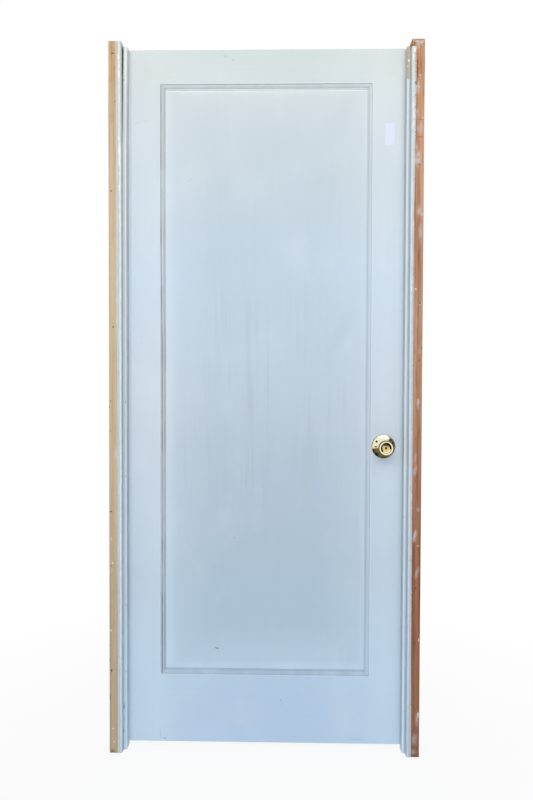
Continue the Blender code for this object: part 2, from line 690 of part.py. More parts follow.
def main():
    clear_scene()
    legs = make_legs()
    make_stops()
    stiles = make_stiles()
    make_rails()
    make_panel()
    for place, middle in HINGE_HEIGHTS.items():
        make_hinge(place, middle, legs["hinge_jamb_leg"], stiles["hinge_stile"])
    make_latch(stiles["latch_stile"])
    make_strike(legs["strike_jamb_leg"])
    make_knobs()


main()
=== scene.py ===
"""The looks of a salvaged interior door between its two jamb legs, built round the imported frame.

Metres, +Z up. The stops and the worn front of the legs face -Y, towards the camera.
"""

import math

import bmesh
import bpy
from mathutils import Matrix, Vector, noise


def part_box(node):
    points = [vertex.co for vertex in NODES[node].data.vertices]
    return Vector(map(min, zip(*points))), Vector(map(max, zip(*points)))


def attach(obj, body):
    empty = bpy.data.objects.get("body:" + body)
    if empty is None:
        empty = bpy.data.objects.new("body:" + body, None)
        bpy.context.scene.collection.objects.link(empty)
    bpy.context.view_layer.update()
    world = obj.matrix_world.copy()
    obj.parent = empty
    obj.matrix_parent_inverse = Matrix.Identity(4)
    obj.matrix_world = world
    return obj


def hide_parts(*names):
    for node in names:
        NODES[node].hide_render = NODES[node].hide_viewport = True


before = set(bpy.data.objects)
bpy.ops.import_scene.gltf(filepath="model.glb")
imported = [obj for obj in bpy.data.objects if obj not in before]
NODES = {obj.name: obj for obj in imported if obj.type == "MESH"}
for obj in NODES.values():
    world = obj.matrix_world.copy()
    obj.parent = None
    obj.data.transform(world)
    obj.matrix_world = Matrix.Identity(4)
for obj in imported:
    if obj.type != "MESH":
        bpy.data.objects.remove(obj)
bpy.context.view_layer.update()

# Places read from the frame
LEG_LOW, LEG_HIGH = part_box("hinge_jamb_leg")
STILE_LOW, STILE_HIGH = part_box("hinge_stile")
LATCH_STILE_LOW, LATCH_STILE_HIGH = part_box("latch_stile")
STOP_LOW, STOP_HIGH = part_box("hinge_side_stop")
ROSE_LOW, ROSE_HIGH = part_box("front_rose")
KNOB_LOW, KNOB_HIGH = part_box("front_knob")
BACK_KNOB_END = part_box("back_knob")[1].y
LEG_FRONT = LEG_LOW.y
LEG_TOP = LEG_HIGH.z
HINGE_FACE = LEG_HIGH.x
STRIKE_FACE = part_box("strike_jamb_leg")[0].x
STOP_FRONT = STOP_LOW.y
DOOR_FRONT = STILE_LOW.y
DOOR_BACK = STILE_HIGH.y
PANEL_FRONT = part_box("panel")[0].y
STICKING_WIDTH = 0.014
LEFT_STILE_EDGE = STILE_HIGH.x - STICKING_WIDTH
RIGHT_STILE_EDGE = LATCH_STILE_LOW.x + STICKING_WIDTH
TOP_RAIL_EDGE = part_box("top_rail")[0].z + STICKING_WIDTH
BOTTOM_RAIL_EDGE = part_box("bottom_rail")[1].z - STICKING_WIDTH
SIGHT_LOW = (STILE_HIGH.x, BOTTOM_RAIL_EDGE + STICKING_WIDTH)
SIGHT_HIGH = (LATCH_STILE_LOW.x, TOP_RAIL_EDGE - STICKING_WIDTH)
KNOB_X = (ROSE_LOW.x + ROSE_HIGH.x) / 2
KNOB_Z = (ROSE_LOW.z + ROSE_HIGH.z) / 2

# Camera, fitted to the door's corners, moulding and legs in the photograph
CAMERA_PLACE = (0.4823, -2.1697, 1.0819)
CAMERA_PITCH = -0.02554
CAMERA_YAW = -0.02248
CAMERA_ROLL = 0.00327
FOCAL_PIXELS = 743.7
IMAGE_HEIGHT_PIXELS = 800
SENSOR = 36.0

# Painted strip along the front edge of each leg, from its inner corner
HINGE_STRIP_TOP = 0.016
HINGE_STRIP_FOOT = 0.0126
STRIKE_STRIP_TOP = 0.0106
STRIKE_STRIP_FOOT = 0.0134
STRIKE_PAINT_TOP = LEG_TOP - 0.0205
FILM_THICKNESS = 0.0005
CORNER_RADIUS = 0.0018

# Knob and rose
KNOB_PROJECTION = DOOR_FRONT - KNOB_LOW.y
KNOB_RADIUS = (KNOB_HIGH.x - KNOB_LOW.x) / 2
ROSE_RADIUS = (ROSE_HIGH.x - ROSE_LOW.x) / 2
ROSE_HEIGHT = DOOR_FRONT - ROSE_LOW.y
ROSE_RIM = 0.0016
ROSE_WALL = 0.0015
NECK_RADIUS = 0.0095
ROSE_HOLE_RADIUS = NECK_RADIUS + 0.00045
ROSE_BASE = 0.0003
NECK_TOP = 0.0198
KNOB_FOOT = 0.003
KNOB_RIM_WIDTH = 0.009
LIP_OUTER = 0.019
LIP_INNER = 0.0155
DISC_RADIUS = 0.0103
DISC_SUNK = 0.0043
HOLE_RADIUS = 0.003
HOLE_DEPTH = 0.0066
BACK_HOLE_RADIUS = 0.0045
TURNED_SEGMENTS = 128

# Blank label on the latch stile
LABEL_LOW = (0.7755, 1.765)
LABEL_HIGH = (0.802, 1.83)
LABEL_CORNER = 0.0025
LABEL_THICKNESS = 0.00015
LABEL_CURL = 0.0012


def linear(red, green, blue):
    """A colour written as it looks on screen, 0 to 255, as the shader wants it."""
    channels = []
    for value in (red, green, blue):
        share = value / 255
        channels.append(share / 12.92 if share <= 0.04045 else ((share + 0.055) / 1.055) ** 2.4)
    return (*channels, 1.0)


class Graph:
    """Short calls that build a tree of shader nodes."""

    def __init__(self, tree):
        self.tree = tree

    def fill(self, socket, value):
        if isinstance(value, bpy.types.NodeSocket):
            self.tree.links.new(value, socket)
        else:
            socket.default_value = value

    def node(self, kind, inputs=(), **settings):
        made = self.tree.nodes.new(kind)
        for key, value in settings.items():
            setattr(made, key, value)
        for key, value in dict(inputs).items():
            self.fill(made.inputs[key], value)
        return made

    def math(self, operation, first, second=0.0, clamp=False):
        made = self.node("ShaderNodeMath", {0: first, 1: second}, operation=operation, use_clamp=clamp)
        return made.outputs[0]

    def times(self, first, *others):
        for other in others:
            first = self.math("MULTIPLY", first, other)
        return first

    def plus(self, first, second):
        return self.math("ADD", first, second)

    def minus(self, first, second):
        return self.math("SUBTRACT", first, second)

    def larger(self, first, second):
        return self.math("MAXIMUM", first, second)

    def smaller(self, first, second):
        return self.math("MINIMUM", first, second)

    def spread(self, value, low, high, out_low=0.0, out_high=1.0, kind="SMOOTHSTEP"):
        """Maps one range to another and holds it at the ends."""
        inputs = {"Value": value, "From Min": low, "From Max": high, "To Min": out_low, "To Max": out_high}
        return self.node("ShaderNodeMapRange", inputs, interpolation_type=kind).outputs["Result"]

    def mix(self, share, first, second, blend="MIX"):
        """Blends two colours. Three numbers are a colour as it looks on screen, four a linear one."""
        made = self.node("ShaderNodeMix", data_type="RGBA", blend_type=blend)
        for index, value in ((0, share), (6, first), (7, second)):
            on_screen = isinstance(value, tuple) and len(value) == 3
            self.fill(made.inputs[index], linear(*value) if on_screen else value)
        return made.outputs[2]

    def background_rays(self):
        """1 for the rays that see the background: from the camera, off metal and through glass."""
        path = self.node("ShaderNodeLightPath").outputs
        seen = self.larger(path["Is Camera Ray"], path["Is Glossy Ray"])
        return self.larger(seen, path["Is Transmission Ray"])


class Finish(Graph):
    """A procedural material in the object's own coordinates."""

    def __init__(self, name, roughness=0.5, metallic=0.0):
        self.material = bpy.data.materials.new(name)
        self.material.use_nodes = True
        super().__init__(self.material.node_tree)
        self.shader = self.tree.nodes["Principled BSDF"]
        self.shader.inputs["Roughness"].default_value = roughness
        self.shader.inputs["Metallic"].default_value = metallic
        self.place = self.node("ShaderNodeTexCoord").outputs["Object"]

    def noise(self, scale, detail=2.0, rough=0.5, shift=0.0, distortion=0.0):
        """Soft noise, scale times a metre along each axis."""
        inputs = {"Vector": self.place, "Scale": scale, "Location": (shift, shift, shift)}
        moved = self.node("ShaderNodeMapping", inputs).outputs["Vector"]
        inputs = {"Vector": moved, "Scale": 1.0, "Detail": detail, "Roughness": rough}
        return self.node("ShaderNodeTexNoise", {**inputs, "Distortion": distortion}).outputs["Fac"]

    def vector(self, operation, inputs):
        return self.node("ShaderNodeVectorMath", inputs, operation=operation).outputs[0]

    def warped(self, amount, size):
        """The object's coordinates pushed about by noise, for ragged edges."""
        inputs = {"Vector": self.place, "Scale": size, "Detail": 3.0}
        wander = self.node("ShaderNodeTexNoise", inputs).outputs["Color"]
        centred = self.vector("SUBTRACT", {0: wander, 1: (0.5, 0.5, 0.5)})
        return self.vector("ADD", {0: self.place, 1: self.vector("SCALE", {0: centred, "Scale": amount})})

    def away(self, vector):
        return self.node("ShaderNodeVectorMath", {0: vector}, operation="LENGTH").outputs["Value"]

    def axis(self, name):
        return self.node("ShaderNodeSeparateXYZ", {"Vector": self.place}).outputs[name]

    def spot(self, centre, half, tilt=0.0, soft=0.6, place=None):
        """1 inside an ellipsoid, falling to 0 at its skin. tilt turns it in the plane of the door."""
        turn = (0, math.radians(tilt), 0)
        inputs = {"Vector": place or self.place, "Location": centre, "Rotation": turn, "Scale": half}
        near = self.node("ShaderNodeMapping", inputs, vector_type="TEXTURE").outputs["Vector"]
        return self.spread(self.away(near), 1.0 - soft, 1.0, 1.0, 0.0)

    def bump(self, height, distance, strength=1.0, under=None):
        inputs = {"Height": height, "Distance": distance, "Strength": strength}
        if under is not None:
            inputs["Normal"] = under
        return self.node("ShaderNodeBump", inputs).outputs["Normal"]

    def link(self, value, name):
        self.tree.links.new(value, self.shader.inputs[name])


def put(obj, material):
    obj.data.materials.clear()
    obj.data.materials.append(material)


# Materials

# The white of the door from the floor up: height and colour. Darker and bluer towards the floor, partly
# painted shade of the light falling off there
DOOR_PAINT_AND_SHADE = (
    (0.2, (208, 226, 242)),
    (0.52, (205, 219, 231)),
    (0.96, (214, 222, 231)),
    (1.4, (215, 227, 238)),
    (2.02, (221, 227, 227)),
)
DIRT = (128, 124, 118)

# Marks on the door's front: centre (x, z), half width, half height, tilt in degrees, strength
STILE_MARKS = (
    (0.06, 1.836, 0.033, 0.0011, -16, 0.25),
    (0.129, 0.278, 0.002, 0.003, 0, 0.6),
    (0.1225, 0.474, 0.0018, 0.0024, 0, 0.5),
    (0.066, 1.21, 0.008, 0.004, 20, 0.1),
    (0.805, 1.055, 0.003, 0.04, 4, 0.1),
)
RAIL_MARKS = (
    (0.3095, 2.024, 0.009, 0.004, 20, 0.22),
    (0.333, 2.013, 0.007, 0.0045, -30, 0.25),
    (0.23, 0.074, 0.005, 0.002, 0, 0.35),
    (0.373, 0.073, 0.002, 0.002, 0, 0.45),
    (0.479, 0.137, 0.0018, 0.0045, 25, 0.6),
    (0.4836, 0.1255, 0.0016, 0.0035, 10, 0.6),
    (0.133, 0.0185, 0.006, 0.003, 0, 0.4),
    (0.7, 0.023, 0.033, 0.0016, 0, 0.35),
)
PANEL_MARKS = (
    (0.288, 0.2864, 0.0085, 0.003, 12, 0.85),
    (0.339, 0.617, 0.006, 0.005, 0, 0.25),
    (0.656, 1.235, 0.032, 0.1, 24, 0.05),
    (0.556, 0.85, 0.03, 0.2, 0, 0.05),
    (0.7, 0.66, 0.004, 0.045, 2, 0.08),
    (0.205, 1.67, 0.02, 0.0035, -30, 0.08),
)
PANEL_GREY = (186, 203, 212)
RAIL_GREY_TOP = (247, 249, 249)
RAIL_GREY_LOW = (236, 241, 247)
# Grime with painted shade, for the mouldings and the panel's crease
MOULDING_GRIME_AND_SHADE = (112, 118, 122)
# The stops' paint from the floor up, partly painted light: darker and bluer low down, and the hinge stop
# lighter near its top against the leg's shade
HINGE_STOP_PAINT_AND_SHADE = (
    (0.15, (223, 240, 255)),
    (0.45, (216, 230, 243)),
    (1.0, (219, 228, 237)),
    (1.7, (232, 239, 243)),
    (1.98, (246, 250, 252)),
)
STRIKE_STOP_PAINT_AND_SHADE = (
    (0.1, (222, 240, 254)),
    (0.5, (218, 232, 244)),
    (1.0, (219, 232, 238)),
    (1.92, (225, 233, 238)),
)
STOP_SIDE_SHADE_AND_GRIME = (212, 206, 202)
# Painted shade on the side of the hinge leg's paint strip
LEG_SIDE_SHADE = (238, 240, 240)
# Near black in the gaps round the stops, painted shade with their dirt
HIDDEN_GRIME_AND_SHADE = (40, 44, 42)
# How dark the quirk, the moulding and its foot are made, grime with painted shade that is heaviest on the
# hinge stile, how much the foot is lightened as a painted highlight, and how far in from its line the lower
# part of the quirk is darkened
GRIME_AND_SHADE = {
    "hinge_stile": (0.8, 0.24, 0.38, 0.0, 0.0034),
    "latch_stile": (0.36, 0.09, 0.14, 0.0, 0.0),
    "top_rail": (0.62, 0.12, 0.0, 0.45, 0.0),
    "bottom_rail": (0.46, 0.27, 0.2, 0.0, 0.0),
}


def height_tint(g, low, high):
    """A colour that changes evenly from the floor to the top of the legs."""
    return g.mix(g.spread(g.axis("Z"), 0.1, LEG_TOP, kind="LINEAR"), low, high)


def by_height(g, steps):
    """A colour that passes through each listed one at its height."""
    tint = steps[0][1]
    for (low, _), (high, colour) in zip(steps, steps[1:]):
        tint = g.mix(g.spread(g.axis("Z"), low, high, kind="LINEAR"), tint, colour)
    return tint


# Height at which the ridge in the leg's paint shifts towards the corner
RIDGE_SHIFT = 1.75


def add_marks(g, tint, marks, depth, colour=DIRT, reach=0.003, soft=0.7, ragged=None, cover=1.0):
    """Ragged spots of one colour on the face at depth. cover thins them out."""
    if ragged is None:
        ragged = g.warped(0.004, 220)
    for x, z, half_width, half_height, tilt, strength in marks:
        share = g.spot((x, depth, z), (half_width, reach, half_height), tilt, soft, ragged)
        tint = g.mix(g.times(share, cover, strength), tint, colour)
    return tint


def rounded_normal(g, radius):
    """The surface's direction with its arrises softened."""
    return g.node("ShaderNodeBevel", {"Radius": radius}, samples=4).outputs["Normal"]


def paint_texture(g, tint, along, arris=0.0007):
    """Brush strokes, faint streaks and softened arrises shared by every painted piece."""
    strokes = {"Z": (420, 420, 5), "X": (5, 420, 420)}[along]
    streaks = {"Z": (130, 130, 2.2), "X": (2.2, 130, 130)}[along]
    fine = g.noise(strokes, detail=3.0, rough=0.6)
    wide = g.noise(streaks, detail=4.0, rough=0.6, shift=3.0)
    clouds = g.noise((5, 5, 4), detail=4.0, rough=0.6, shift=7.0)
    tint = g.mix(g.spread(wide, 0.5, 0.75, 0.0, 0.07), tint, (176, 184, 188))
    tint = g.mix(g.spread(clouds, 0.45, 0.75, 0.0, 0.06), tint, (182, 192, 200))
    tint = g.mix(g.spread(clouds, 0.5, 0.25, 0.0, 0.14), tint, (238, 243, 247))
    first = g.bump(fine, 0.0003, 0.3, under=rounded_normal(g, arris) if arris else None)
    pimples = g.noise((700, 700, 700), detail=1.0, shift=1.0)
    g.link(g.bump(pimples, 0.0001, 0.2, under=first), "Normal")
    g.link(g.spread(clouds, 0.3, 0.7, 0.38, 0.52), "Roughness")
    g.shader.inputs["Specular IOR Level"].default_value = 0.35
    return tint


def moulding_grime_and_shade(g, tint, across, lengthways, strengths):
    """Grime and painted shade in the quirk, over the moulding and along its foot, with painted highlights.

    across runs in from the face line, and lengthways is 1 between the ends of the moulding.
    """
    quirk, band, foot, foot_highlight, shift = strengths
    wander = g.spread(g.noise((260, 260, 260), shift=2.0), 0.2, 0.8, -0.0003, 0.0003, "LINEAR")
    ragged = g.plus(across, wander)
    patchy = g.spread(g.noise((30, 30, 12), detail=4.0, shift=15.0), 0.3, 0.7, 0.75, 1.15)
    inside = g.times(g.spread(across, 0.0, 0.0004), lengthways)
    deep = g.minus(ragged, g.spread(g.axis("Z"), 1.6, 1.1, 0.0, shift))
    far = g.spread(deep, 0.0022 + shift / 3, 0.0016 + shift / 3)
    share = g.larger(g.times(far, quirk, g.spread(deep, -0.0004, 0.0)), band)
    at_foot = g.times(g.spread(ragged, 0.0094, 0.0112), g.spread(g.axis("Z"), 1.75, 1.5, 0.2 * foot, foot))
    share = g.times(g.larger(share, at_foot), inside, patchy)
    # A painted highlight along the arris just outside the moulding
    arris = g.times(g.spread(across, -0.0036, -0.0022), g.spread(across, 0.0, -0.0008), lengthways)
    tint = g.mix(g.times(arris, 0.3), tint, (238, 244, 248))
    tint = g.mix(share, tint, MOULDING_GRIME_AND_SHADE)
    # On the top rail the foot is lightened, a painted highlight against the shadow the moulding casts on the
    # panel
    if foot_highlight:
        painted_foot_highlight = g.times(g.spread(across, 0.01, 0.0125, 0.0, foot_highlight), lengthways)
        tint = g.mix(painted_foot_highlight, tint, (255, 255, 255))
    return tint


def rail_tint(g):
    """The door's white, greyer along the rails towards the middle."""
    x = g.axis("X")
    inward = g.smaller(g.minus(x, 0.1), g.minus(0.8, x))
    share = g.plus(g.spread(inward, 0.0, 0.09, 0.0, 0.6), g.spread(inward, 0.05, 0.3, 0.0, 0.4))
    grey = g.mix(g.spread(g.axis("Z"), 0.3, 1.9), RAIL_GREY_LOW, RAIL_GREY_TOP)
    return g.mix(share, by_height(g, DOOR_PAINT_AND_SHADE), grey, "MULTIPLY")


def film_paint():
    """The same paint where it bridges the joints."""
    g = Finish("paint_joints")
    g.link(paint_texture(g, rail_tint(g), "Z", arris=0.0), "Base Color")
    return g.material


def door_paint(name, along, marks, edge, inward):
    """Paint on a stile or rail. edge is the line where its moulding starts, and inward the panel's side."""
    g = Finish("paint_" + name)
    tint = paint_texture(g, rail_tint(g), along)
    measured = g.axis("X" if along == "Z" else "Z")
    across = g.times(g.minus(measured, edge), inward)
    ends = {"Z": (BOTTOM_RAIL_EDGE, TOP_RAIL_EDGE), "X": (LEFT_STILE_EDGE, RIGHT_STILE_EDGE)}
    first, last = ends[along]
    low = g.spread(g.axis(along), first - 0.0005, first + 0.0005)
    lengthways = g.times(low, g.spread(g.axis(along), last + 0.0005, last - 0.0005))
    tint = moulding_grime_and_shade(g, tint, across, lengthways, GRIME_AND_SHADE[name])
    g.link(add_marks(g, tint, marks, DOOR_FRONT), "Base Color")
    return g.material


def panel_paint():
    """The panel is greyer further in and further down, with a painted highlight along its edges and painted
    shade in the crease at its lower left.
    """
    g = Finish("paint_panel")
    x = g.axis("X")
    z = g.axis("Z")
    left = g.minus(x, SIGHT_LOW[0])
    right = g.minus(SIGHT_HIGH[0], x)
    foot = g.minus(z, SIGHT_LOW[1])
    head = g.minus(SIGHT_HIGH[1], z)
    side_gap = g.smaller(left, g.plus(right, 0.018))
    end_gap = g.smaller(g.plus(foot, 0.012), g.plus(head, 0.014))
    gap = g.smaller(side_gap, end_gap)
    wander = g.spread(g.noise((14, 14, 3), detail=3.0, shift=8.0), 0.3, 0.7, -0.005, 0.005)
    inward = g.plus(gap, wander)
    inside = g.plus(g.spread(inward, 0.0, 0.045, 0.0, 0.62), g.spread(inward, 0.03, 0.17, 0.0, 0.38))
    depth = g.plus(g.spread(z, 1.95, 1.4, 0.27, 0.35), g.spread(z, 1.06, 0.86, 0.0, 0.115))
    tint = g.mix(g.times(inside, depth), by_height(g, DOOR_PAINT_AND_SHADE), PANEL_GREY, "MULTIPLY")
    # A painted highlight along the edges, strongest at the head where it offsets the moulding's shadow
    for edge, strength in ((left, 0.4), (right, 0.1), (head, 0.75)):
        tint = g.mix(g.spread(edge, 0.0042, 0.0016, 0.0, strength), tint, (250, 254, 255))
    # A painted shade line in the crease along the panel's left edge
    corner = g.times(g.spread(left, 0.0016, 0.0006), g.spread(z, 1.42, 1.1))
    tint = g.mix(g.times(corner, 0.55), tint, MOULDING_GRIME_AND_SHADE)

    streaks = g.noise((75, 75, 2.6), detail=5.0, rough=0.62, shift=11.0, distortion=0.4)
    patches = g.noise((9, 9, 3.5), detail=3.0, shift=5.0)
    worn = g.times(g.spread(z, 0.45, 0.8), g.spread(z, 1.55, 1.15))
    worn = g.times(worn, g.spread(inward, 0.02, 0.1))
    share = g.times(g.spread(streaks, 0.48, 0.72), g.spread(patches, 0.36, 0.62))
    tint = g.mix(g.times(share, worn, 0.17), tint, (150, 154, 162))
    tint = paint_texture(g, tint, "Z")
    g.link(add_marks(g, tint, PANEL_MARKS, PANEL_FRONT), "Base Color")
    return g.material


def grain(g, pale, dark, line, pith, spacing, seed):
    """Solid timber: growth rings round a far pith that runs up the piece, and fine fibre."""
    slow = g.noise((4, 4, 0.7), detail=2.0, shift=seed)
    fibre = g.noise((900, 900, 9), detail=4.0, rough=0.7, shift=seed + 2)
    broad = g.noise((45, 45, 1.1), detail=3.0, shift=seed + 4)
    off_x = g.minus(g.axis("X"), pith[0])
    off_y = g.minus(g.axis("Y"), pith[1])
    square = g.plus(g.times(off_x, off_x), g.times(off_y, off_y))
    radius = g.plus(g.math("SQRT", square), g.times(slow, 0.022))
    turns = g.math("FRACT", g.math("DIVIDE", radius, spacing))
    late = g.times(g.spread(turns, 0.3, 0.92), g.spread(turns, 1.0, 0.93))
    narrow = g.noise((300, 300, 2.4), detail=3.0, rough=0.6, shift=seed + 6)
    blotches = g.noise((90, 90, 22), detail=4.0, rough=0.6, shift=seed + 9)
    tint = g.mix(g.spread(broad, 0.36, 0.64), pale, dark)
    tint = g.mix(g.spread(narrow, 0.5, 0.66, 0.0, 0.75), tint, line)
    tint = g.mix(g.spread(narrow, 0.48, 0.32, 0.0, 0.7), tint, pale)
    tint = g.mix(g.spread(blotches, 0.54, 0.74, 0.0, 0.5), tint, line)
    tint = g.mix(g.spread(blotches, 0.46, 0.28, 0.0, 0.45), tint, pale)
    tint = g.mix(g.times(late, 0.45), tint, line)
    tint = g.mix(g.spread(fibre, 0.5, 0.78, 0.0, 0.45), tint, line)
    height = g.plus(g.times(late, 0.5), fibre)
    return tint, height


# Stains and smears on the front of the legs: centre (x, z), half width, half height, tilt, strength
PINE_STAINS = (
    (-0.0069, 2.0108, 0.0024, 0.0026, 0, 0.95),
    (0.0015, 1.8746, 0.003, 0.004, 0, 0.6),
    (-0.0103, 1.6221, 0.0024, 0.0024, 0, 0.8),
    (-0.0054, 1.2351, 0.0024, 0.0026, 0, 0.8),
    (-0.014, 1.0231, 0.0024, 0.0036, 0, 0.7),
    (-0.016, 1.0058, 0.0022, 0.0045, 0, 0.7),
    (-0.0148, 0.9368, 0.003, 0.0024, 0, 0.8),
    (-0.013, 0.7044, 0.0034, 0.0024, 10, 0.95),
    (-0.012, 0.5464, 0.0024, 0.003, 0, 0.85),
    (-0.0172, 0.3161, 0.0018, 0.008, 0, 0.8),
    (-0.0172, 0.2722, 0.002, 0.011, 0, 0.9),
    (-0.012, 0.2401, 0.0024, 0.0055, 0, 0.9),
    (-0.016, 0.163, 0.0026, 0.016, 0, 0.5),
    (-0.003, 2.009, 0.017, 0.0013, 0, 0.75),
)
PINE_SMEARS = (
    (0.001, 0.87, 0.006, 0.026, 0, 0.65),
    (-0.009, 0.9224, 0.003, 0.0035, 0, 0.45),
    (-0.0105, 0.5319, 0.0065, 0.007, 0, 0.6),
    (-0.005, 0.299, 0.0034, 0.005, 0, 0.5),
    (0.0, 0.69, 0.005, 0.032, 0, 0.4),
    (-0.015, 0.61, 0.003, 0.006, 0, 0.5),
)
FIR_STAINS = (
    (0.857, 1.965, 0.0034, 0.075, 0, 0.8),
    (0.8528, 1.922, 0.0034, 0.012, 0, 0.95),
    (0.868, 1.96, 0.003, 0.05, -3, 0.45),
    (0.876, 1.98, 0.002, 0.03, 0, 0.6),
    (0.848, 2.033, 0.003, 0.01, 0, 0.7),
    (0.843, 2.027, 0.004, 0.006, 0, 0.45),
    (0.86, 2.044, 0.018, 0.0022, 0, 0.5),
    (0.874, 2.031, 0.0028, 0.007, 0, 0.5),
    (0.864, 2.024, 0.011, 0.0022, 10, 0.4),
    (0.864, 1.43, 0.0024, 0.05, 1, 0.45),
    (0.86, 1.09, 0.0024, 0.05, -1, 0.45),
    (0.87, 0.94, 0.0024, 0.035, 0, 0.5),
    (0.862, 0.76, 0.0024, 0.05, 1, 0.4),
    (0.856, 0.58, 0.0024, 0.06, 0, 0.4),
    (0.8642, 1.6941, 0.004, 0.0034, 0, 0.85),
    (0.861, 1.715, 0.0012, 0.006, 20, 0.6),
    (0.8687, 1.3044, 0.0032, 0.0032, 0, 0.8),
    (0.8756, 1.177, 0.0022, 0.008, 0, 0.8),
    (0.8684, 1.143, 0.003, 0.0036, 0, 0.75),
    (0.869, 1.014, 0.0022, 0.005, 0, 0.75),
    (0.8756, 0.47, 0.0016, 0.03, 0, 0.85),
    (0.8752, 0.37, 0.0016, 0.02, 0, 0.7),
    (0.866, 1.8213, 0.015, 0.001, 1, 0.75),
    (0.866, 1.771, 0.015, 0.0012, -1, 0.85),
    (0.864, 0.02, 0.014, 0.03, 0, 0.3),
)
FIR_SMEARS = (
    (0.8545, 2.038, 0.0095, 0.0062, 10, 1.0),
    (0.861, 2.0295, 0.012, 0.007, -12, 1.0),
    (0.868, 2.0365, 0.0095, 0.007, 20, 1.0),
    (0.859, 2.022, 0.01, 0.0042, 0, 0.95),
    (0.87, 2.027, 0.004, 0.004, 0, 0.7),
    (0.847, 2.04, 0.003, 0.007, 20, 0.8),
    (0.8572, 1.912, 0.0085, 0.03, 0, 0.9),
    (0.866, 1.938, 0.004, 0.008, 0, 0.55),
    (0.864, 1.796, 0.016, 0.023, 0, 0.45),
    (0.857, 1.835, 0.007, 0.026, 0, 0.55),
    (0.86, 1.712, 0.012, 0.03, 5, 0.95),
    (0.856, 1.745, 0.005, 0.016, 0, 0.5),
    (0.864, 1.566, 0.01, 0.022, 0, 0.7),
    (0.869, 1.508, 0.008, 0.032, 0, 0.75),
    (0.8687, 1.302, 0.0075, 0.008, 0, 0.55),
    (0.862, 1.25, 0.004, 0.026, 0, 0.35),
    (0.869, 1.17, 0.005, 0.02, 0, 0.35),
    (0.866, 1.02, 0.006, 0.022, 0, 0.8),
    (0.86, 0.865, 0.005, 0.025, 0, 0.5),
    (0.859, 0.828, 0.007, 0.023, 10, 0.8),
    (0.869, 0.717, 0.006, 0.01, 0, 0.85),
    (0.86, 0.64, 0.008, 0.026, 10, 0.8),
    (0.867, 0.535, 0.0075, 0.026, 15, 0.65),
    (0.87, 0.11, 0.006, 0.03, 0, 0.5),
    (0.864, 0.05, 0.012, 0.03, 0, 0.4),
    (0.86, 0.015, 0.015, 0.013, 0, 0.6),
)


def leg_material(name, wood, washes_and_shade, stains, smears, painted, stain_colour):
    """Bare timber outside, darker towards the floor, and old paint where the casing left it.

    soiled lists washes over the timber, each a colour, a way to mix it, how much, and from what
    height down to what height it comes in. Those that darken it towards the floor are painted shade.
    """
    g = Finish(name)
    tint, height = grain(g, *wood)
    for colour, blend, amount, high, low in washes_and_shade:
        tint = g.mix(g.spread(g.axis("Z"), high, low, 0.0, amount), tint, colour, blend)
    ragged = g.warped(0.004, 260)
    crumbs = g.spread(g.noise((620, 620, 260), detail=4.0, rough=0.65, shift=4.0), 0.4, 0.6)
    films = g.spread(g.noise((160, 160, 60), detail=4.0, rough=0.6, shift=14.0), 0.3, 0.6)
    broken = g.math("ADD", g.math("MULTIPLY", crumbs, 0.45), g.math("MULTIPLY", films, 0.7), clamp=True)
    tint = add_marks(g, tint, smears, LEG_FRONT, (214, 208, 204), 0.004, 0.8, ragged, broken)
    tint = add_marks(g, tint, stains, LEG_FRONT, stain_colour, 0.004, 0.8, ragged)
    foot = g.plus(g.axis("Z"), g.spread(films, 0.0, 1.0, -0.006, 0.006))
    tint = g.mix(g.spread(foot, 0.012, 0.002, 0.0, 0.55), tint, stain_colour)
    # The leg's paint, darker and bluer towards the floor as painted shade
    paint = height_tint(g, (188, 204, 220), (214, 220, 222))
    mask, shaded_behind_stop = painted_part(g, *painted)
    tint = g.mix(mask, tint, paint)
    # Behind the stop the leg is painted near black, shade with dirt
    g.link(g.mix(shaded_behind_stop, tint, HIDDEN_GRIME_AND_SHADE), "Base Color")
    first = g.bump(height, 0.0006, 0.55, under=rounded_normal(g, 0.0006))
    g.link(g.bump(mask, 0.0004, 0.6, under=first), "Normal")
    g.link(g.spread(mask, 0.0, 1.0, 0.85, 0.5), "Roughness")
    g.shader.inputs["Specular IOR Level"].default_value = 0.3
    return g.material


def painted_part(g, face, inward, strip_front, strip_back, top, stop_top):
    """Where a leg is painted, and where the stop hides it, which is painted near black as shade with dirt.
    inward is the side of the door.
    """
    wander = g.noise((160, 160, 55), detail=4.0, rough=0.65, shift=2.0)
    wander = g.spread(wander, 0.25, 0.75, -0.0022, 0.0022, "LINEAR")
    plain = g.times(g.minus(g.axis("X"), face), inward)
    from_face = g.plus(plain, wander)
    depth = g.plus(g.axis("Y"), g.times(wander, 0.5))
    bands = []
    for width, edge in ((strip_front, -0.035), (strip_back, 0.035)):
        near = g.spread(from_face, -width - 0.0003, -width + 0.0003)
        bands.append(g.times(near, g.spread(depth, edge, edge + math.copysign(0.002, edge))))
    inner = g.spread(plain, -0.0012, -0.0009)
    shaded_behind_stop = g.times(
        inner,
        g.spread(g.axis("Y"), STOP_FRONT - 0.001, STOP_FRONT + 0.001),
        g.spread(g.axis("Y"), STOP_HIGH.y + 0.001, STOP_HIGH.y - 0.001),
        g.spread(g.axis("Z"), stop_top, stop_top - 0.002),
    )
    either = g.larger(g.larger(*bands), inner)
    low = g.plus(g.axis("Z"), g.times(wander, 1.6))
    return g.times(either, g.spread(low, top + 0.0008, top - 0.0008)), shaded_behind_stop


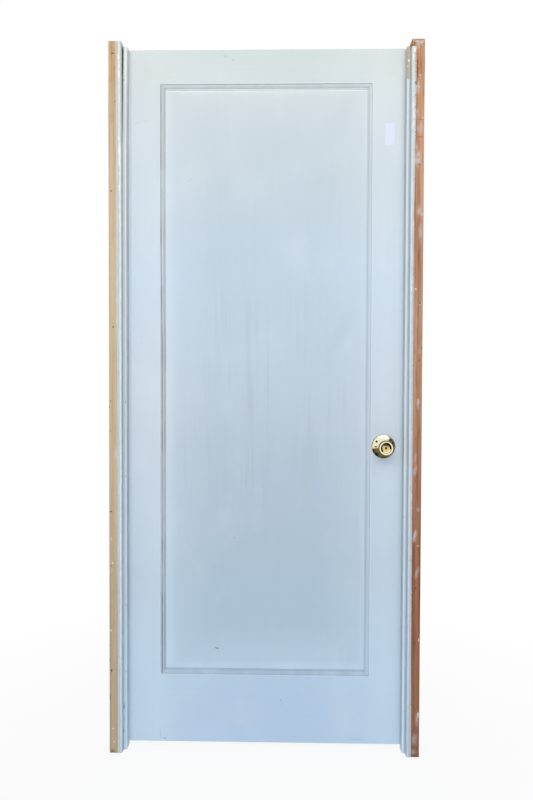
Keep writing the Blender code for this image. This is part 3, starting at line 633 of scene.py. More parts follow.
# Chips and dents in the stops: centre (x, z), half width, half height, tilt, strength
STOP_CHIPS = (
    (0.0179, 1.8325, 0.0016, 0.006, 0, 0.7),
    (0.019, 0.056, 0.002, 0.012, 0, 0.6),
    (0.832, 0.69, 0.0014, 0.003, 0, 0.6),
)
STOP_DENTS = (
    (0.0218, 1.9433, 0.003, 0.0028, 0, 0.55),
    (0.0256, 1.0197, 0.0014, 0.007, 0, 0.55),
    (0.0262, 0.2324, 0.0014, 0.0045, 0, 0.6),
    (0.0205, 0.127, 0.002, 0.013, 0, 0.75),
    (0.0215, 0.09, 0.001, 0.02, 0, 0.45),
    (0.8385, 1.52, 0.0012, 0.003, 0, 0.35),
)
STOP_FLECKS = ((0.8352, 1.9934, 0.0042, 0.0065, 0, 1.0), (0.833, 1.978, 0.002, 0.004, 0, 0.8))


def stop_material(name, wood, bare_from, leg_gap_shade, paint_steps, leg_corner_shade):
    """Chipped paint over wood, its sides darker in patches, painted shade with some grime. Above bare_from
    the front is unpainted.

    hidden holds the two places across the door between which the side towards the leg is near black, painted
    shade of the gap with its dirt, and wash the two places between which the front darkens towards the leg,
    painted shade of that corner, and that darker colour.
    """
    g = Finish(name)
    bare_wood, _ = grain(g, *wood, (0.9, 0.3), 0.0023, 21.0)
    clear, dull, corner_shade_colour = leg_corner_shade
    # The paint darkens towards the leg, painted shade of that corner
    paint = g.mix(g.spread(g.axis("X"), clear, dull), by_height(g, paint_steps), corner_shade_colour, "MULTIPLY")
    paint = paint_texture(g, paint, "Z")
    depth = g.axis("Y")
    # The sides are darkened, painted shade with some grime
    shaded_sides = g.spread(depth, STOP_FRONT + 0.0012, STOP_FRONT + 0.0034)
    patchy = g.spread(g.noise((60, 60, 14), detail=3.0, shift=17.0), 0.3, 0.7, 0.75, 1.0)
    paint = g.mix(g.times(shaded_sides, patchy), paint, STOP_SIDE_SHADE_AND_GRIME, "MULTIPLY")
    chips = g.noise((260, 260, 90), detail=4.0, rough=0.6, shift=9.0)
    rarely = g.noise((14, 14, 6), detail=2.0, shift=4.0)
    chipped = g.times(g.spread(chips, 0.69, 0.705), g.spread(rarely, 0.5, 0.58))
    ragged = g.plus(g.axis("Z"), g.spread(chips, 0.3, 0.7, -0.003, 0.003, "LINEAR"))
    above = g.spread(ragged, bare_from - 0.0006, bare_from + 0.0006)
    bare = g.times(above, g.spread(depth, STOP_FRONT + 0.0022, STOP_FRONT + 0.0014))
    tint = g.mix(g.larger(chipped, bare), paint, bare_wood)
    tint = add_marks(g, tint, STOP_CHIPS, STOP_FRONT, (136, 112, 90))
    tint = add_marks(g, tint, STOP_DENTS, STOP_FRONT, (92, 96, 100))
    tint = add_marks(g, tint, STOP_FLECKS, STOP_FRONT, (244, 246, 246))
    near, far = leg_gap_shade
    # The side towards the leg is painted near black, shade of the gap with its dirt
    shaded_towards_leg = g.times(g.spread(g.axis("X"), far, near), g.spread(depth, STOP_FRONT, STOP_FRONT + 0.003))
    g.link(g.mix(shaded_towards_leg, tint, HIDDEN_GRIME_AND_SHADE), "Base Color")
    return g.material


def caulk_material(name, pale, dull):
    g = Finish(name, roughness=0.6)
    blotch = g.noise((160, 160, 40), detail=4.0, rough=0.6)
    grime = g.noise((420, 420, 160), detail=4.0, rough=0.65, shift=6.0)
    tint = g.mix(g.spread(blotch, 0.35, 0.68), pale, dull)
    tint = g.mix(g.spread(grime, 0.6, 0.78, 0.0, 0.4), tint, (164, 160, 146))
    g.link(tint, "Base Color")
    g.link(g.bump(grime, 0.0003, 0.4), "Normal")
    return g.material


def strip_material(name, face, inward, dull, bright, ridge, side_shade, crevice, fringe):
    """Old trim paint on a leg's front edge, with a paler ridge, a painted highlight on the raised paint, that
    wanders along the corner.

    dull and bright are the paint's and the ridge's colours, each at the floor and at the top, both darker and
    bluer low down as painted shade, and ridge gives, for the top and for the rest of the leg, the ridge's
    place in from the corner, its half width and how white it is.
    Above the height crevice the paint is near black beside the stop, which has sprung away there, painted
    shade of the gap with its dirt. fringe is how much older paint shows along the outer edge near the top.
    """
    g = Finish(name, roughness=0.55)
    z = g.axis("Z")
    blotch = g.noise((160, 160, 30), detail=4.0, rough=0.6)
    grime = g.noise((420, 420, 110), detail=4.0, rough=0.65, shift=6.0)
    wander = g.spread(g.noise((8, 8, 14), detail=3.0, shift=12.0), 0.25, 0.75, -0.0007, 0.0007, "LINEAR")
    plain = g.times(g.minus(face, g.axis("X")), inward)
    inset = g.plus(plain, wander)
    upper = g.spread(z, RIDGE_SHIFT - 0.03, RIDGE_SHIFT + 0.03)
    share = None
    for index, (place, half_width, strength) in enumerate(ridge):
        off = g.math("ABSOLUTE", g.minus(inset, place))
        here = g.times(g.spread(off, half_width, half_width * 0.35), strength)
        part = upper if index == 0 else g.minus(1.0, upper)
        here = g.times(here, part)
        share = here if share is None else g.plus(share, here)
    share = g.times(share, g.spread(blotch, 0.25, 0.5, 0.55, 1.0))
    on_side = g.spread(g.axis("Y"), LEG_FRONT + 0.001, LEG_FRONT + 0.004)
    share = g.times(share, g.minus(1.0, on_side))
    # The ridge's paler colour is a painted highlight; both colours darken towards the floor as painted shade
    tint = g.mix(share, height_tint(g, *dull), height_tint(g, *bright))
    # The strip's side is darkened, painted shade, on the hinge leg only
    tint = g.mix(on_side, tint, side_shade, "MULTIPLY")
    # Near black beside the sprung stop, painted shade of the gap with its dirt
    sprung = g.spread(z, crevice, crevice + 0.12, 0.0, 1.0)
    shaded_gap = g.times(g.spread(g.axis("Y"), STOP_FRONT - 0.0085, STOP_FRONT - 0.006), sprung)
    patches = g.noise((220, 220, 26), detail=4.0, rough=0.6, shift=19.0)
    tint = g.mix(g.spread(patches, 0.52, 0.7, 0.0, 0.4), tint, (196, 196, 184))
    tint = g.mix(g.spread(patches, 0.46, 0.3, 0.0, 0.5), tint, (240, 245, 246))
    tint = g.mix(g.spread(grime, 0.56, 0.72, 0.0, 0.45), tint, (160, 158, 144))
    older = g.times(g.spread(inset, 0.0062, 0.0092), g.spread(z, 1.88, 1.98))
    older = g.times(older, g.spread(blotch, 0.3, 0.55, 0.45 * fringe, fringe))
    tint = g.mix(older, tint, (208, 196, 168))
    g.link(g.mix(shaded_gap, tint, HIDDEN_GRIME_AND_SHADE), "Base Color")
    g.link(g.bump(grime, 0.0003, 0.4), "Normal")
    g.shader.inputs["Specular IOR Level"].default_value = 0.35
    return g.material


def metal_material(name, colour, tarnish, roughness, amount=0.35):
    g = Finish(name, roughness=roughness, metallic=1.0)
    clouds = g.noise((120, 120, 120), detail=4.0, rough=0.6)
    specks = g.noise((900, 900, 900), detail=2.0, shift=3.0)
    scratch = g.noise((1400, 1400, 1400), detail=2.0, shift=5.0)
    tint = g.mix(g.spread(clouds, 0.42, 0.72, 0.0, amount), colour, tarnish)
    tint = g.mix(g.spread(specks, 0.68, 0.78, 0.0, amount), tint, tarnish)
    g.link(tint, "Base Color")
    g.link(g.spread(clouds, 0.3, 0.8, roughness, roughness + 0.14), "Roughness")
    g.link(g.bump(scratch, 0.00005, 0.12, under=rounded_normal(g, 0.0003)), "Normal")
    return g.material


def ring(g, radius, inner, outer):
    """1 between two radii."""
    past = g.spread(radius, inner - 0.0004, inner + 0.0002)
    return g.times(past, g.spread(radius, outer + 0.0004, outer - 0.0002))


# Painted reflections of bright and dark surroundings on the roses, with tarnish and gilt spots, across and up
# from the spindle: x, z, half width, half height, colour
ROSE_REFLECTIONS_AND_SPOTS = (
    (-0.023, -0.007, 0.011, 0.012, (236, 204, 120)),
    (-0.0226, 0.0005, 0.0042, 0.0036, (60, 42, 16)),
    (-0.0215, -0.0235, 0.011, 0.01, (74, 58, 32)),
    (-0.029, -0.013, 0.005, 0.009, (110, 84, 40)),
    (0.029, 0.008, 0.009, 0.022, (176, 160, 108)),
    (0.0193, 0.0195, 0.0072, 0.0062, (66, 56, 28)),
    (0.025, 0.012, 0.003, 0.005, (84, 72, 38)),
)


def turned_brass(name, tarnish_and_reflection_rings, face_only=(), disc=None, pale=(244, 230, 180), spots=()):
    """Lacquered brass, bright where hands polish it and brown in rings where polish never reaches, tarnish
    that is also painted dark reflection at rims and edges.

    browned and face_only list inner and outer radii from the spindle, the second kind only on the
    outer faces of the knobs, and disc is the radius of the more golden plug in those faces. Round
    that plug the hollow is darkened most at its upper left, painted shade and dark reflection over tarnish,
    and the lip is painted paler as a highlight.
    """
    g = Finish(name, roughness=0.1, metallic=1.0)
    off_x = g.minus(g.axis("X"), KNOB_X)
    off_z = g.minus(g.axis("Z"), KNOB_Z)
    square = g.plus(g.times(off_x, off_x), g.times(off_z, off_z))
    radius = g.math("SQRT", square)
    depth = g.axis("Y")
    low, high = KNOB_LOW.y + 0.005, BACK_KNOB_END - 0.005
    on_face = g.larger(g.spread(depth, low + 0.001, low), g.spread(depth, high - 0.001, high))
    clouds = g.noise((60, 60, 60), detail=3.0, rough=0.5)
    specks = g.noise((900, 900, 900), detail=2.0, shift=3.0)
    brown = 0.0
    for inner, outer in tarnish_and_reflection_rings:
        brown = g.larger(brown, ring(g, radius, inner, outer))
    for inner, outer in face_only:
        brown = g.larger(brown, g.times(ring(g, radius, inner, outer), on_face))
    brown = g.times(brown, g.spread(clouds, 0.2, 0.6, 0.65, 0.95))
    tint = g.mix(g.spread(clouds, 0.4, 0.75, 0.0, 0.35), pale, (212, 182, 108))
    if disc is not None:
        share = g.times(g.spread(radius, disc + 0.0002, disc - 0.0002), on_face)
        tint = g.mix(share, tint, (226, 202, 140))
        leaning = g.minus(off_z, g.times(off_x, 0.4))
        # A painted crescent of shade and dark reflection in the hollow, heaviest at its upper left
        hollow = g.times(ring(g, radius, disc + 0.0003, LIP_INNER - 0.0008), on_face)
        hollow = g.times(hollow, g.spread(leaning, -0.0085, -0.003, 0.0, 0.92))
        tint = g.mix(hollow, tint, (62, 44, 24))
        # A painted highlight on the knob's lip
        lip = g.times(ring(g, radius, LIP_INNER + 0.0003, LIP_OUTER + 0.001), on_face)
        tint = g.mix(lip, tint, (255, 248, 214))
    # Spots of painted reflection and tarnish
    for x, z, half_width, half_height, colour in spots:
        share = g.spot((KNOB_X + x, DOOR_FRONT, KNOB_Z + z), (half_width, 0.1, half_height), 0.0, 0.7)
        tint = g.mix(share, tint, colour)
    tint = g.mix(g.spread(specks, 0.7, 0.78, 0.0, 0.35), tint, (120, 92, 44))
    g.link(g.mix(brown, tint, (84, 68, 34)), "Base Color")
    g.link(g.spread(brown, 0.0, 1.0, 0.08, 0.3), "Roughness")
    scratch = g.noise((1400, 1400, 1400), detail=2.0, shift=5.0)
    g.link(g.bump(scratch, 0.00005, 0.1, under=rounded_normal(g, 0.0003)), "Normal")
    return g.material


def build_materials():
    """Every finish, and the nodes of the frame that keep their own shape."""
    tan = ((208, 186, 152), (194, 168, 132), (158, 130, 98))
    faded = ((216, 202, 184), (204, 186, 164), (180, 154, 128))
    made = {
        "hinge_stile": door_paint("hinge_stile", "Z", STILE_MARKS, LEFT_STILE_EDGE, 1),
        "latch_stile": door_paint("latch_stile", "Z", STILE_MARKS, RIGHT_STILE_EDGE, -1),
        "top_rail": door_paint("top_rail", "X", RAIL_MARKS, TOP_RAIL_EDGE, -1),
        "bottom_rail": door_paint("bottom_rail", "X", RAIL_MARKS, BOTTOM_RAIL_EDGE, 1),
        "panel": panel_paint(),
        "hinge_side_stop": stop_material(
            "paint_hinge_stop",
            tan,
            LEG_TOP + 0.1,
            (HINGE_FACE + 0.0045, HINGE_FACE + 0.0055),
            HINGE_STOP_PAINT_AND_SHADE,
            (HINGE_FACE + 0.009, HINGE_FACE + 0.005, (234, 237, 238)),
        ),
        "strike_side_stop": stop_material(
            "paint_strike_stop",
            faded,
            1.9414,
            (STRIKE_FACE - 0.001, STRIKE_FACE - 0.002),
            STRIKE_STOP_PAINT_AND_SHADE,
            (STRIKE_FACE - 0.006, STRIKE_FACE - 0.0034, (222, 224, 226)),
        ),
        "joint_film": film_paint(),
        "brass": metal_material("polished_brass", (236, 206, 138), (150, 112, 52), 0.1),
        "knob_brass": turned_brass(
            "knob_brass",
            ((0.0195, 0.04),),
            ((0.0144, 0.0156), (0.0022, 0.003)),
            DISC_RADIUS,
        ),
        "rose_brass": turned_brass(
            "rose_brass",
            ((0.033, 0.04), (0.0, 0.0118)),
            pale=(238, 239, 210),
            spots=ROSE_REFLECTIONS_AND_SPOTS,
        ),
        "dark_screw": metal_material("dark_screw", (58, 60, 44), (36, 30, 20), 0.38, 0.6),
        "dull_brass": metal_material("dull_brass", (186, 158, 104), (104, 84, 52), 0.34, 0.6),
        "steel": metal_material("plain_steel", (168, 168, 170), (96, 92, 88), 0.36, 0.4),
        "rust": metal_material("dark_nail", (58, 48, 40), (36, 26, 20), 0.6, 0.8),
        "film": strip_material(
            "hinge_trim_paint",
            HINGE_FACE,
            1,
            ((196, 206, 214), (206, 209, 204)),
            ((216, 232, 244), (244, 248, 246)),
            ((0.0052, 0.003, 0.8), (0.0026, 0.0028, 1.0)),
            LEG_SIDE_SHADE,
            1.74,
            0.3,
        ),
        "far_film": strip_material(
            "strike_trim_paint",
            STRIKE_FACE,
            -1,
            ((188, 196, 204), (202, 208, 208)),
            ((204, 218, 232), (224, 235, 240)),
            ((0.0045, 0.005, 0.9), (0.0022, 0.0042, 0.9)),
            (255, 255, 255),
            LEG_TOP,
            1.0,
        ),
        "caulk": caulk_material("white_caulk", (253, 253, 248), (244, 246, 240)),
        "plaster": caulk_material("plaster", (226, 220, 214), (204, 196, 190)),
        # Near black for the release hole's floor, painted shade of its depth
        "hole": metal_material("hole_shade", (40, 34, 28), (24, 20, 18), 0.7, 0.5),
    }
    pine = ((226, 200, 164), (202, 168, 128), (168, 128, 88), (-0.16, 0.05), 0.0034, 3.0)
    fir = ((226, 184, 154), (198, 148, 116), (156, 100, 72), (1.02, 0.08), 0.0026, 8.0)
    # Washes for the two legs; the darkening towards the floor in them is painted shade
    greyed = (
        ((255, 246, 232), "MULTIPLY", 0.6, 1.8, 1.98),
        ((212, 194, 166), "MIX", 0.5, 1.95, 1.5),
        ((236, 236, 236), "MULTIPLY", 1.0, 1.2, 0.2),
    )
    reddened = (
        ((240, 239, 239), "MULTIPLY", 1.0, 1.9, 1.45),
        ((208, 183, 168), "MULTIPLY", 1.0, 1.35, 0.5),
        ((236, 238, 244), "MULTIPLY", 1.0, 0.2, 0.04),
        ((255, 249, 234), "MULTIPLY", 1.0, 1.7, 1.95),
    )
    far_stop_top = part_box("strike_side_stop")[1].z
    hinge_paint = (HINGE_FACE, 1, 0.0112, 0.008, LEG_TOP + 0.1, STOP_HIGH.z)
    strike_paint = (STRIKE_FACE, -1, 0.0088, 0.008, STRIKE_PAINT_TOP, far_stop_top)
    for name, material, wood, washes_and_shade, stains, smears, painted, stain_colour in (
        ("hinge_jamb_leg", "pine", pine, greyed, PINE_STAINS, PINE_SMEARS, hinge_paint, (84, 72, 60)),
        ("strike_jamb_leg", "fir", fir, reddened, FIR_STAINS, FIR_SMEARS, strike_paint, (92, 54, 38)),
    ):
        made[name] = leg_material(material, wood, washes_and_shade, stains, smears, painted, stain_colour)
    for name, node in NODES.items():
        put(node, made.get(name, made["dull_brass"]))
    for name in ("latch_housing", "latch_hub", "spindle"):
        put(NODES[name], made["steel"])
    for name in ("front_knob", "back_knob", "front_rose", "back_rose", "privacy_button"):
        put(NODES[name], made["brass"])
    return made


# Pieces


def new_piece(name, bm, material, body, smooth=True):
    bmesh.ops.recalc_face_normals(bm, faces=bm.faces)
    mesh = bpy.data.meshes.new(name)
    bm.to_mesh(mesh)
    bm.free()
    if smooth:
        mesh.shade_smooth()
        mesh.set_sharp_from_angle(angle=math.radians(50))
    piece = bpy.data.objects.new(name, mesh)
    bpy.context.scene.collection.objects.link(piece)
    piece.data.materials.append(material)
    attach(piece, body)
    return piece


def add_skin(bm, columns, rows, surface, sink=0.0003):
    """A thin closed skin. surface(u, v) gives its foot on the carrier, the way out, and its thickness.

    Cells with no thickness at any corner are left out.
    """
    feet = {}
    for i in range(columns + 1):
        for j in range(rows + 1):
            feet[i, j] = surface(i / columns, j / rows)
    upper = {}
    lower = {}

    def corner(store, key, under):
        if key not in store:
            foot, out, thick = feet[key]
            rise = -sink if under else max(thick, -sink * 0.5)
            store[key] = bm.verts.new(foot + out * rise)
        return store[key]

    kept = set()
    for i in range(columns):
        for j in range(rows):
            keys = ((i, j), (i + 1, j), (i + 1, j + 1), (i, j + 1))
            if max(feet[key][2] for key in keys) > 0:
                kept.add((i, j))
    for i, j in sorted(kept):
        keys = ((i, j), (i + 1, j), (i + 1, j + 1), (i, j + 1))
        bm.faces.new([corner(upper, key, False) for key in keys])
        bm.faces.new([corner(lower, key, True) for key in reversed(keys)])
        for step, beside in enumerate(((i, j - 1), (i + 1, j), (i, j + 1), (i - 1, j))):
            if beside in kept:
                continue
            first = keys[step]
            second = keys[(step + 1) % 4]
            below = [corner(lower, second, True), corner(lower, first, True)]
            bm.faces.new([upper[second], *below, upper[first]])


def ripple(x, z, seed, across=150.0, along=25.0):
    """Seeded noise from -1 to 1 that is longer up the piece than across it."""
    return noise.noise(Vector((x * across, z * along, seed * 7.31)))


def hump(value, centre, half):
    """A smooth rise from 0 to 1 and back."""
    away = abs(value - centre) / half
    return 0.0 if away >= 1 else (1 - away * away) ** 2


# Lumps and gaps in the paint strips: height up the leg, in from the corner, half length, half width, rise
HINGE_LUMPS = (
    (1.985, 0.0045, 0.02, 0.003, 0.001),
    (1.95, 0.0045, 0.016, 0.003, 0.0012),
    (1.659, 0.004, 0.02, 0.0028, 0.0012),
    (1.631, 0.0032, 0.008, 0.003, 0.0016),
    (1.618, 0.0046, 0.006, 0.0026, 0.001),
    (1.7, 0.004, 0.012, 0.0024, 0.001),
    (1.772, 0.004, 0.006, 0.0024, 0.001),
    (1.48, 0.004, 0.03, 0.002, 0.0008),
    (0.55, 0.006, 0.05, 0.004, 0.0007),
    (0.5, 0.005, 0.03, 0.004, 0.0009),
    (0.13, 0.003, 0.03, 0.0024, 0.0012),
    (2.011, 0.008, 0.0015, 0.008, -0.0009),
)
STRIKE_LUMPS = (
    (2.01, 0.008, 0.01, 0.003, 0.0012),
    (1.97, 0.003, 0.03, 0.003, 0.0007),
    (1.921, 0.009, 0.009, 0.0018, -0.002),
    (1.86, 0.006, 0.012, 0.003, 0.0009),
    (1.83, 0.005, 0.01, 0.0026, -0.001),
    (1.805, 0.006, 0.014, 0.003, 0.001),
    (1.344, 0.0125, 0.006, 0.0045, 0.0014),
    (1.52, 0.006, 0.03, 0.003, 0.0006),
    (0.91, 0.0125, 0.045, 0.003, 0.0008),
    (0.7, 0.008, 0.025, 0.003, -0.0004),
    (0.185, 0.006, 0.01, 0.003, 0.0007),
)


def add_paint_strip(name, face, inward, widths, waist, top, lumps, seed, material, rough):
    """Built-up paint along a leg's front edge, round its corner and in to the stop.

    waist is how much narrower it is half way up, and the height at which that starts. rough is how
    far its outer edge wanders above RIDGE_SHIFT.
    """
    foot_width, top_width = widths
    narrower, waist_top = waist
    side_depth = STOP_FRONT - LEG_FRONT - 0.0002
    out_front = Vector((0, -1, 0))
    out_side = Vector((inward, 0, 0))

    def surface(u, v):
        z = v * top
        width = foot_width + (top_width - foot_width) * z / LEG_TOP + 0.0004 * ripple(0, z, seed, along=6.0)
        width -= narrower * max(0.0, min(1.0, (z - 0.08) / 0.2, (waist_top - z) / 0.12))
        wild = max(0.0, min(1.0, (z - RIDGE_SHIFT) / 0.05))
        width += wild * rough * 0.6
        flat = width - CORNER_RADIUS
        bend = CORNER_RADIUS * math.pi / 2
        total = flat + bend + side_depth - CORNER_RADIUS
        run = u * total
        if run < flat:
            foot = Vector((face - inward * (width - run), LEG_FRONT, z))
            out = out_front
        elif run < flat + bend:
            turn = (run - flat) / CORNER_RADIUS
            out = out_front * math.cos(turn) + out_side * math.sin(turn)
            foot = Vector((face - inward * CORNER_RADIUS, LEG_FRONT + CORNER_RADIUS, z)) + out * CORNER_RADIUS
        else:
            foot = Vector((face, LEG_FRONT + CORNER_RADIUS + run - flat - bend, z))
            out = out_side
        thick = FILM_THICKNESS + 0.00022 * ripple(run, z, seed) + 0.00012 * ripple(run, z, seed + 3, 700, 160)
        ridge = 0.0052 if z > RIDGE_SHIFT else 0.0034
        swell = 0.7 + 0.3 * ripple(0, z, seed + 11, along=9.0)
        thick += 0.0006 * swell * hump(flat + bend / 2 - run, ridge, 0.003)
        ragged = ripple(run, z, seed + 5, 60, 120) + 0.7 * ripple(run, z, seed + 6, 200, 420)
        ragged *= 0.001 + wild * rough
        thick -= 0.0008 * max(0.0, 1 - (run + ragged) / 0.0012)
        from_corner = flat + bend / 2 - run
        for lump_z, lump_in, half_length, half_width, rise in lumps:
            if abs(z - lump_z) < half_length:
                jag = 1 + 0.5 * ripple(run, z, seed + 8, 300, 200)
                thick += rise * jag * hump(z, lump_z, half_length) * hump(from_corner, lump_in, half_width)
        if top < LEG_TOP - 0.001:
            end = top - z + 0.006 * ripple(run, z, seed + 9, 260, 10) + 0.0012
            thick -= 0.001 * max(0.0, 1 - end / 0.002)
        return foot, out, thick

    bm = bmesh.new()
    add_skin(bm, 26, 780, surface)
    new_piece(name, bm, material, "frame")


def add_bead(bm, start, end, offset, radius, seed, face, inward):
    """An irregular ridge of filler on the leg's front, tapering into the paint at both ends."""
    rings = []
    steps = max(8, int((end - start) / 0.0015))
    sides = 9
    for step in range(steps + 1):
        share = step / steps
        z = start + (end - start) * share
        ends = min(1.0, math.sin(math.pi * share) * 3.0 + 0.02)
        wide = radius * (1 + 0.22 * ripple(0, z, seed, 10, 70)) * ends
        middle = face - inward * (offset + 0.0006 * ripple(0, z, seed + 1, 10, 60))
        ring = []
        for side in range(sides + 1):
            turn = math.pi * side / sides
            lift = 0.45 * math.sin(turn) * wide * (1 + 0.25 * ripple(turn, z, seed + 2, 2.0, 180))
            foot = LEG_FRONT - FILM_THICKNESS * 1.5
            ring.append(bm.verts.new((middle + wide * math.cos(turn), foot - lift, z)))
        rings.append(ring)
    for lower, upper in zip(rings, rings[1:]):
        for side in range(sides + 1):
            after = (side + 1) % (sides + 1)
            bm.faces.new([lower[side], lower[after], upper[after], upper[side]])
    bm.faces.new(rings[0])
    bm.faces.new(rings[-1])


# Stretches of white filler on the legs: foot, top, in from the corner, half width
HINGE_BEADS = (
    (1.99, 2.008, 0.0062, 0.003),
    (1.966, 1.991, 0.0056, 0.0026),
    (1.938, 1.964, 0.0056, 0.003),
    (1.765, 1.777, 0.005, 0.0024),
    (1.69, 1.76, 0.0052, 0.0022),
    (1.65, 1.676, 0.004, 0.0018),
    (1.622, 1.64, 0.0046, 0.0026),
    (1.5, 1.56, 0.003, 0.0018),
)
STRIKE_BEADS = (
    (2.006, 2.024, 0.008, 0.0022),
    (1.985, 2.004, 0.004, 0.0026),
    (1.8, 1.812, 0.005, 0.002),
    (1.824, 1.846, 0.0062, 0.0018),
    (1.852, 1.868, 0.005, 0.0016),
    (1.335, 1.352, 0.003, 0.0018),
)


def add_lump(bm, x, z, half_width, half_height, rise, seed, rough):
    """A low irregular crust on a leg's front, thickest in its middle and closed below the surface."""
    around = 18
    rings = 4
    centre = Vector((x, LEG_FRONT, z))
    tip = bm.verts.new(centre + FORWARD * rise)
    below = bm.verts.new(centre - FORWARD * 0.0003)
    loops = []
    for ring in range(1, rings + 1):
        share = ring / rings
        loop = []
        for step in range(around):
            turn = 2 * math.pi * step / around
            jag = 1 + rough * noise.noise(Vector((math.cos(turn) * 1.7, math.sin(turn) * 1.7, seed)))
            foot = centre + RIGHT * math.cos(turn) * half_width * share * jag
            foot = foot + UP * math.sin(turn) * half_height * share * jag
            lift = rise * (1 - share**3) * (1 + 0.4 * noise.noise(foot * 500)) if ring < rings else -0.0003
            loop.append(bm.verts.new(foot + FORWARD * lift))
        loops.append(loop)
    for step in range(around):
        after = (step + 1) % around
        bm.faces.new([tip, loops[0][step], loops[0][after]])
        bm.faces.new([below, loops[-1][after], loops[-1][step]])
        for inner, outer in zip(loops, loops[1:]):
            bm.faces.new([inner[step], outer[step], outer[after], inner[after]])


RIGHT = Vector((1, 0, 0))
UP = Vector((0, 0, 1))
FORWARD = Vector((0, -1, 0))
BACKWARD = Vector((0, 1, 0))

# Crusts and flecks of plaster or paint on the raw fronts: x, z, half width, half height, rise
STRIKE_FLECKS = (
    (0.8655, 2.035, 0.0024, 0.003, 0.0008),
    (0.856, 2.0375, 0.0026, 0.0014, 0.0007),
    (0.86, 2.024, 0.003, 0.0012, 0.0007),
    (0.853, 2.019, 0.0016, 0.006, 0.0008),
    (0.864, 1.944, 0.0022, 0.003, 0.0007),
    (0.8625, 1.912, 0.0022, 0.0024, 0.0007),
    (0.8722, 1.8241, 0.0026, 0.0022, 0.0008),
    (0.8728, 1.5552, 0.0022, 0.0042, 0.001),
    (0.8564, 1.344, 0.0036, 0.0026, 0.001),
    (0.8694, 0.6118, 0.004, 0.0014, 0.0008),
    (0.8733, 0.3407, 0.002, 0.005, 0.0008),
    (0.8735, 0.1232, 0.0018, 0.01, 0.0007),
)
HINGE_FLECKS = (
    (-0.0077, 0.5551, 0.003, 0.0035, 0.0008),
    (-0.0123, 0.6248, 0.0022, 0.0045, 0.0005),
    (-0.0137, 0.3586, 0.0036, 0.003, 0.0008),
    (-0.0084, 0.0713, 0.0034, 0.0024, 0.0008),
    (-0.005, 0.0319, 0.0026, 0.0036, 0.0006),
)
HINGE_NAILS = ((-0.0069, 2.0108), (-0.0103, 1.6221), (-0.0054, 1.2351), (-0.013, 0.7044), (-0.011, 0.2431))
STRIKE_NAILS = ((0.8687, 1.3044), (0.864, 0.49))
NAIL_RADIUS = 0.0022
NAIL_RISE = 0.0003


def build_leg_surfaces(made):
    """Paint strips, filler, plaster crusts and nail heads on the two legs."""
    hinge_shape = ((HINGE_STRIP_FOOT, HINGE_STRIP_TOP), (0.0018, 1.25), LEG_TOP - 0.0003, HINGE_LUMPS)
    strike_shape = ((STRIKE_STRIP_FOOT, STRIKE_STRIP_TOP), (0.0019, 1.68), STRIKE_PAINT_TOP, STRIKE_LUMPS)
    add_paint_strip("hinge_leg_paint", HINGE_FACE, 1, *hinge_shape, 1, made["film"], 0.0)
    add_paint_strip("strike_leg_paint", STRIKE_FACE, -1, *strike_shape, 2, made["far_film"], 0.0022)
    for name, beads, face, inward in (
        ("hinge_leg_filler", HINGE_BEADS, HINGE_FACE, 1),
        ("strike_leg_filler", STRIKE_BEADS, STRIKE_FACE, -1),
    ):
        bm = bmesh.new()
        for number, (start, end, offset, radius) in enumerate(beads):
            add_bead(bm, start, end, offset, radius, number + inward * 20.0, face, inward)
        new_piece(name, bm, made["caulk"], "frame")
    for name, flecks in (("hinge_leg_plaster", HINGE_FLECKS), ("strike_leg_plaster", STRIKE_FLECKS)):
        bm = bmesh.new()
        for number, (x, z, half_width, half_height, rise) in enumerate(flecks):
            add_lump(bm, x, z, half_width, half_height, rise, number * 3.1, 0.55)
        new_piece(name, bm, made["plaster"], "frame")
    bm = bmesh.new()
    for x, z in HINGE_NAILS + STRIKE_NAILS:
        add_lump(bm, x, z, NAIL_RADIUS, NAIL_RADIUS, NAIL_RISE, x, 0.05)
    new_piece("leg_nail_heads", bm, made["rust"], "frame")


def add_turned(bm, profile, centre, out, segments=TURNED_SEGMENTS):
    """A closed profile of (radius, height) points turned round a line through centre along out."""
    side = RIGHT if abs(out.x) < 0.5 else UP
    other = out.cross(side)
    rings = []
    for radius, height in profile:
        if radius < 1e-6:
            rings.append([bm.verts.new(centre + out * height)])
            continue
        ring = []
        for step in range(segments):
            turn = 2 * math.pi * step / segments
            away = side * math.cos(turn) + other * math.sin(turn)
            ring.append(bm.verts.new(centre + out * height + away * radius))
        rings.append(ring)
    for first, second in zip(rings, rings[1:]):
        for step in range(segments):
            after = (step + 1) % segments
            corners = [first[step % len(first)], first[after % len(first)]]
            corners += [second[after % len(second)], second[step % len(second)]]
            corners = list(dict.fromkeys(corners))
            if len(corners) > 2:
                bm.faces.new(corners)
    bmesh.ops.remove_doubles(bm, verts=bm.verts, dist=1e-7)


def eased(points, radius, steps=4):
    """The same open outline with each inner corner rounded."""
    rounded = [points[0]]
    for before, here, after in zip(points, points[1:], points[2:]):
        corner = Vector(here)
        start = Vector(before) - corner
        end = Vector(after) - corner
        reach = min(radius, start.length * 0.45, end.length * 0.45)
        first = corner + start.normalized() * reach
        last = corner + end.normalized() * reach
        for step in range(steps + 1):
            t = step / steps
            rounded.append(tuple(first * (1 - t) ** 2 + corner * 2 * t * (1 - t) + last * t**2))
    rounded.append(points[-1])
    return rounded


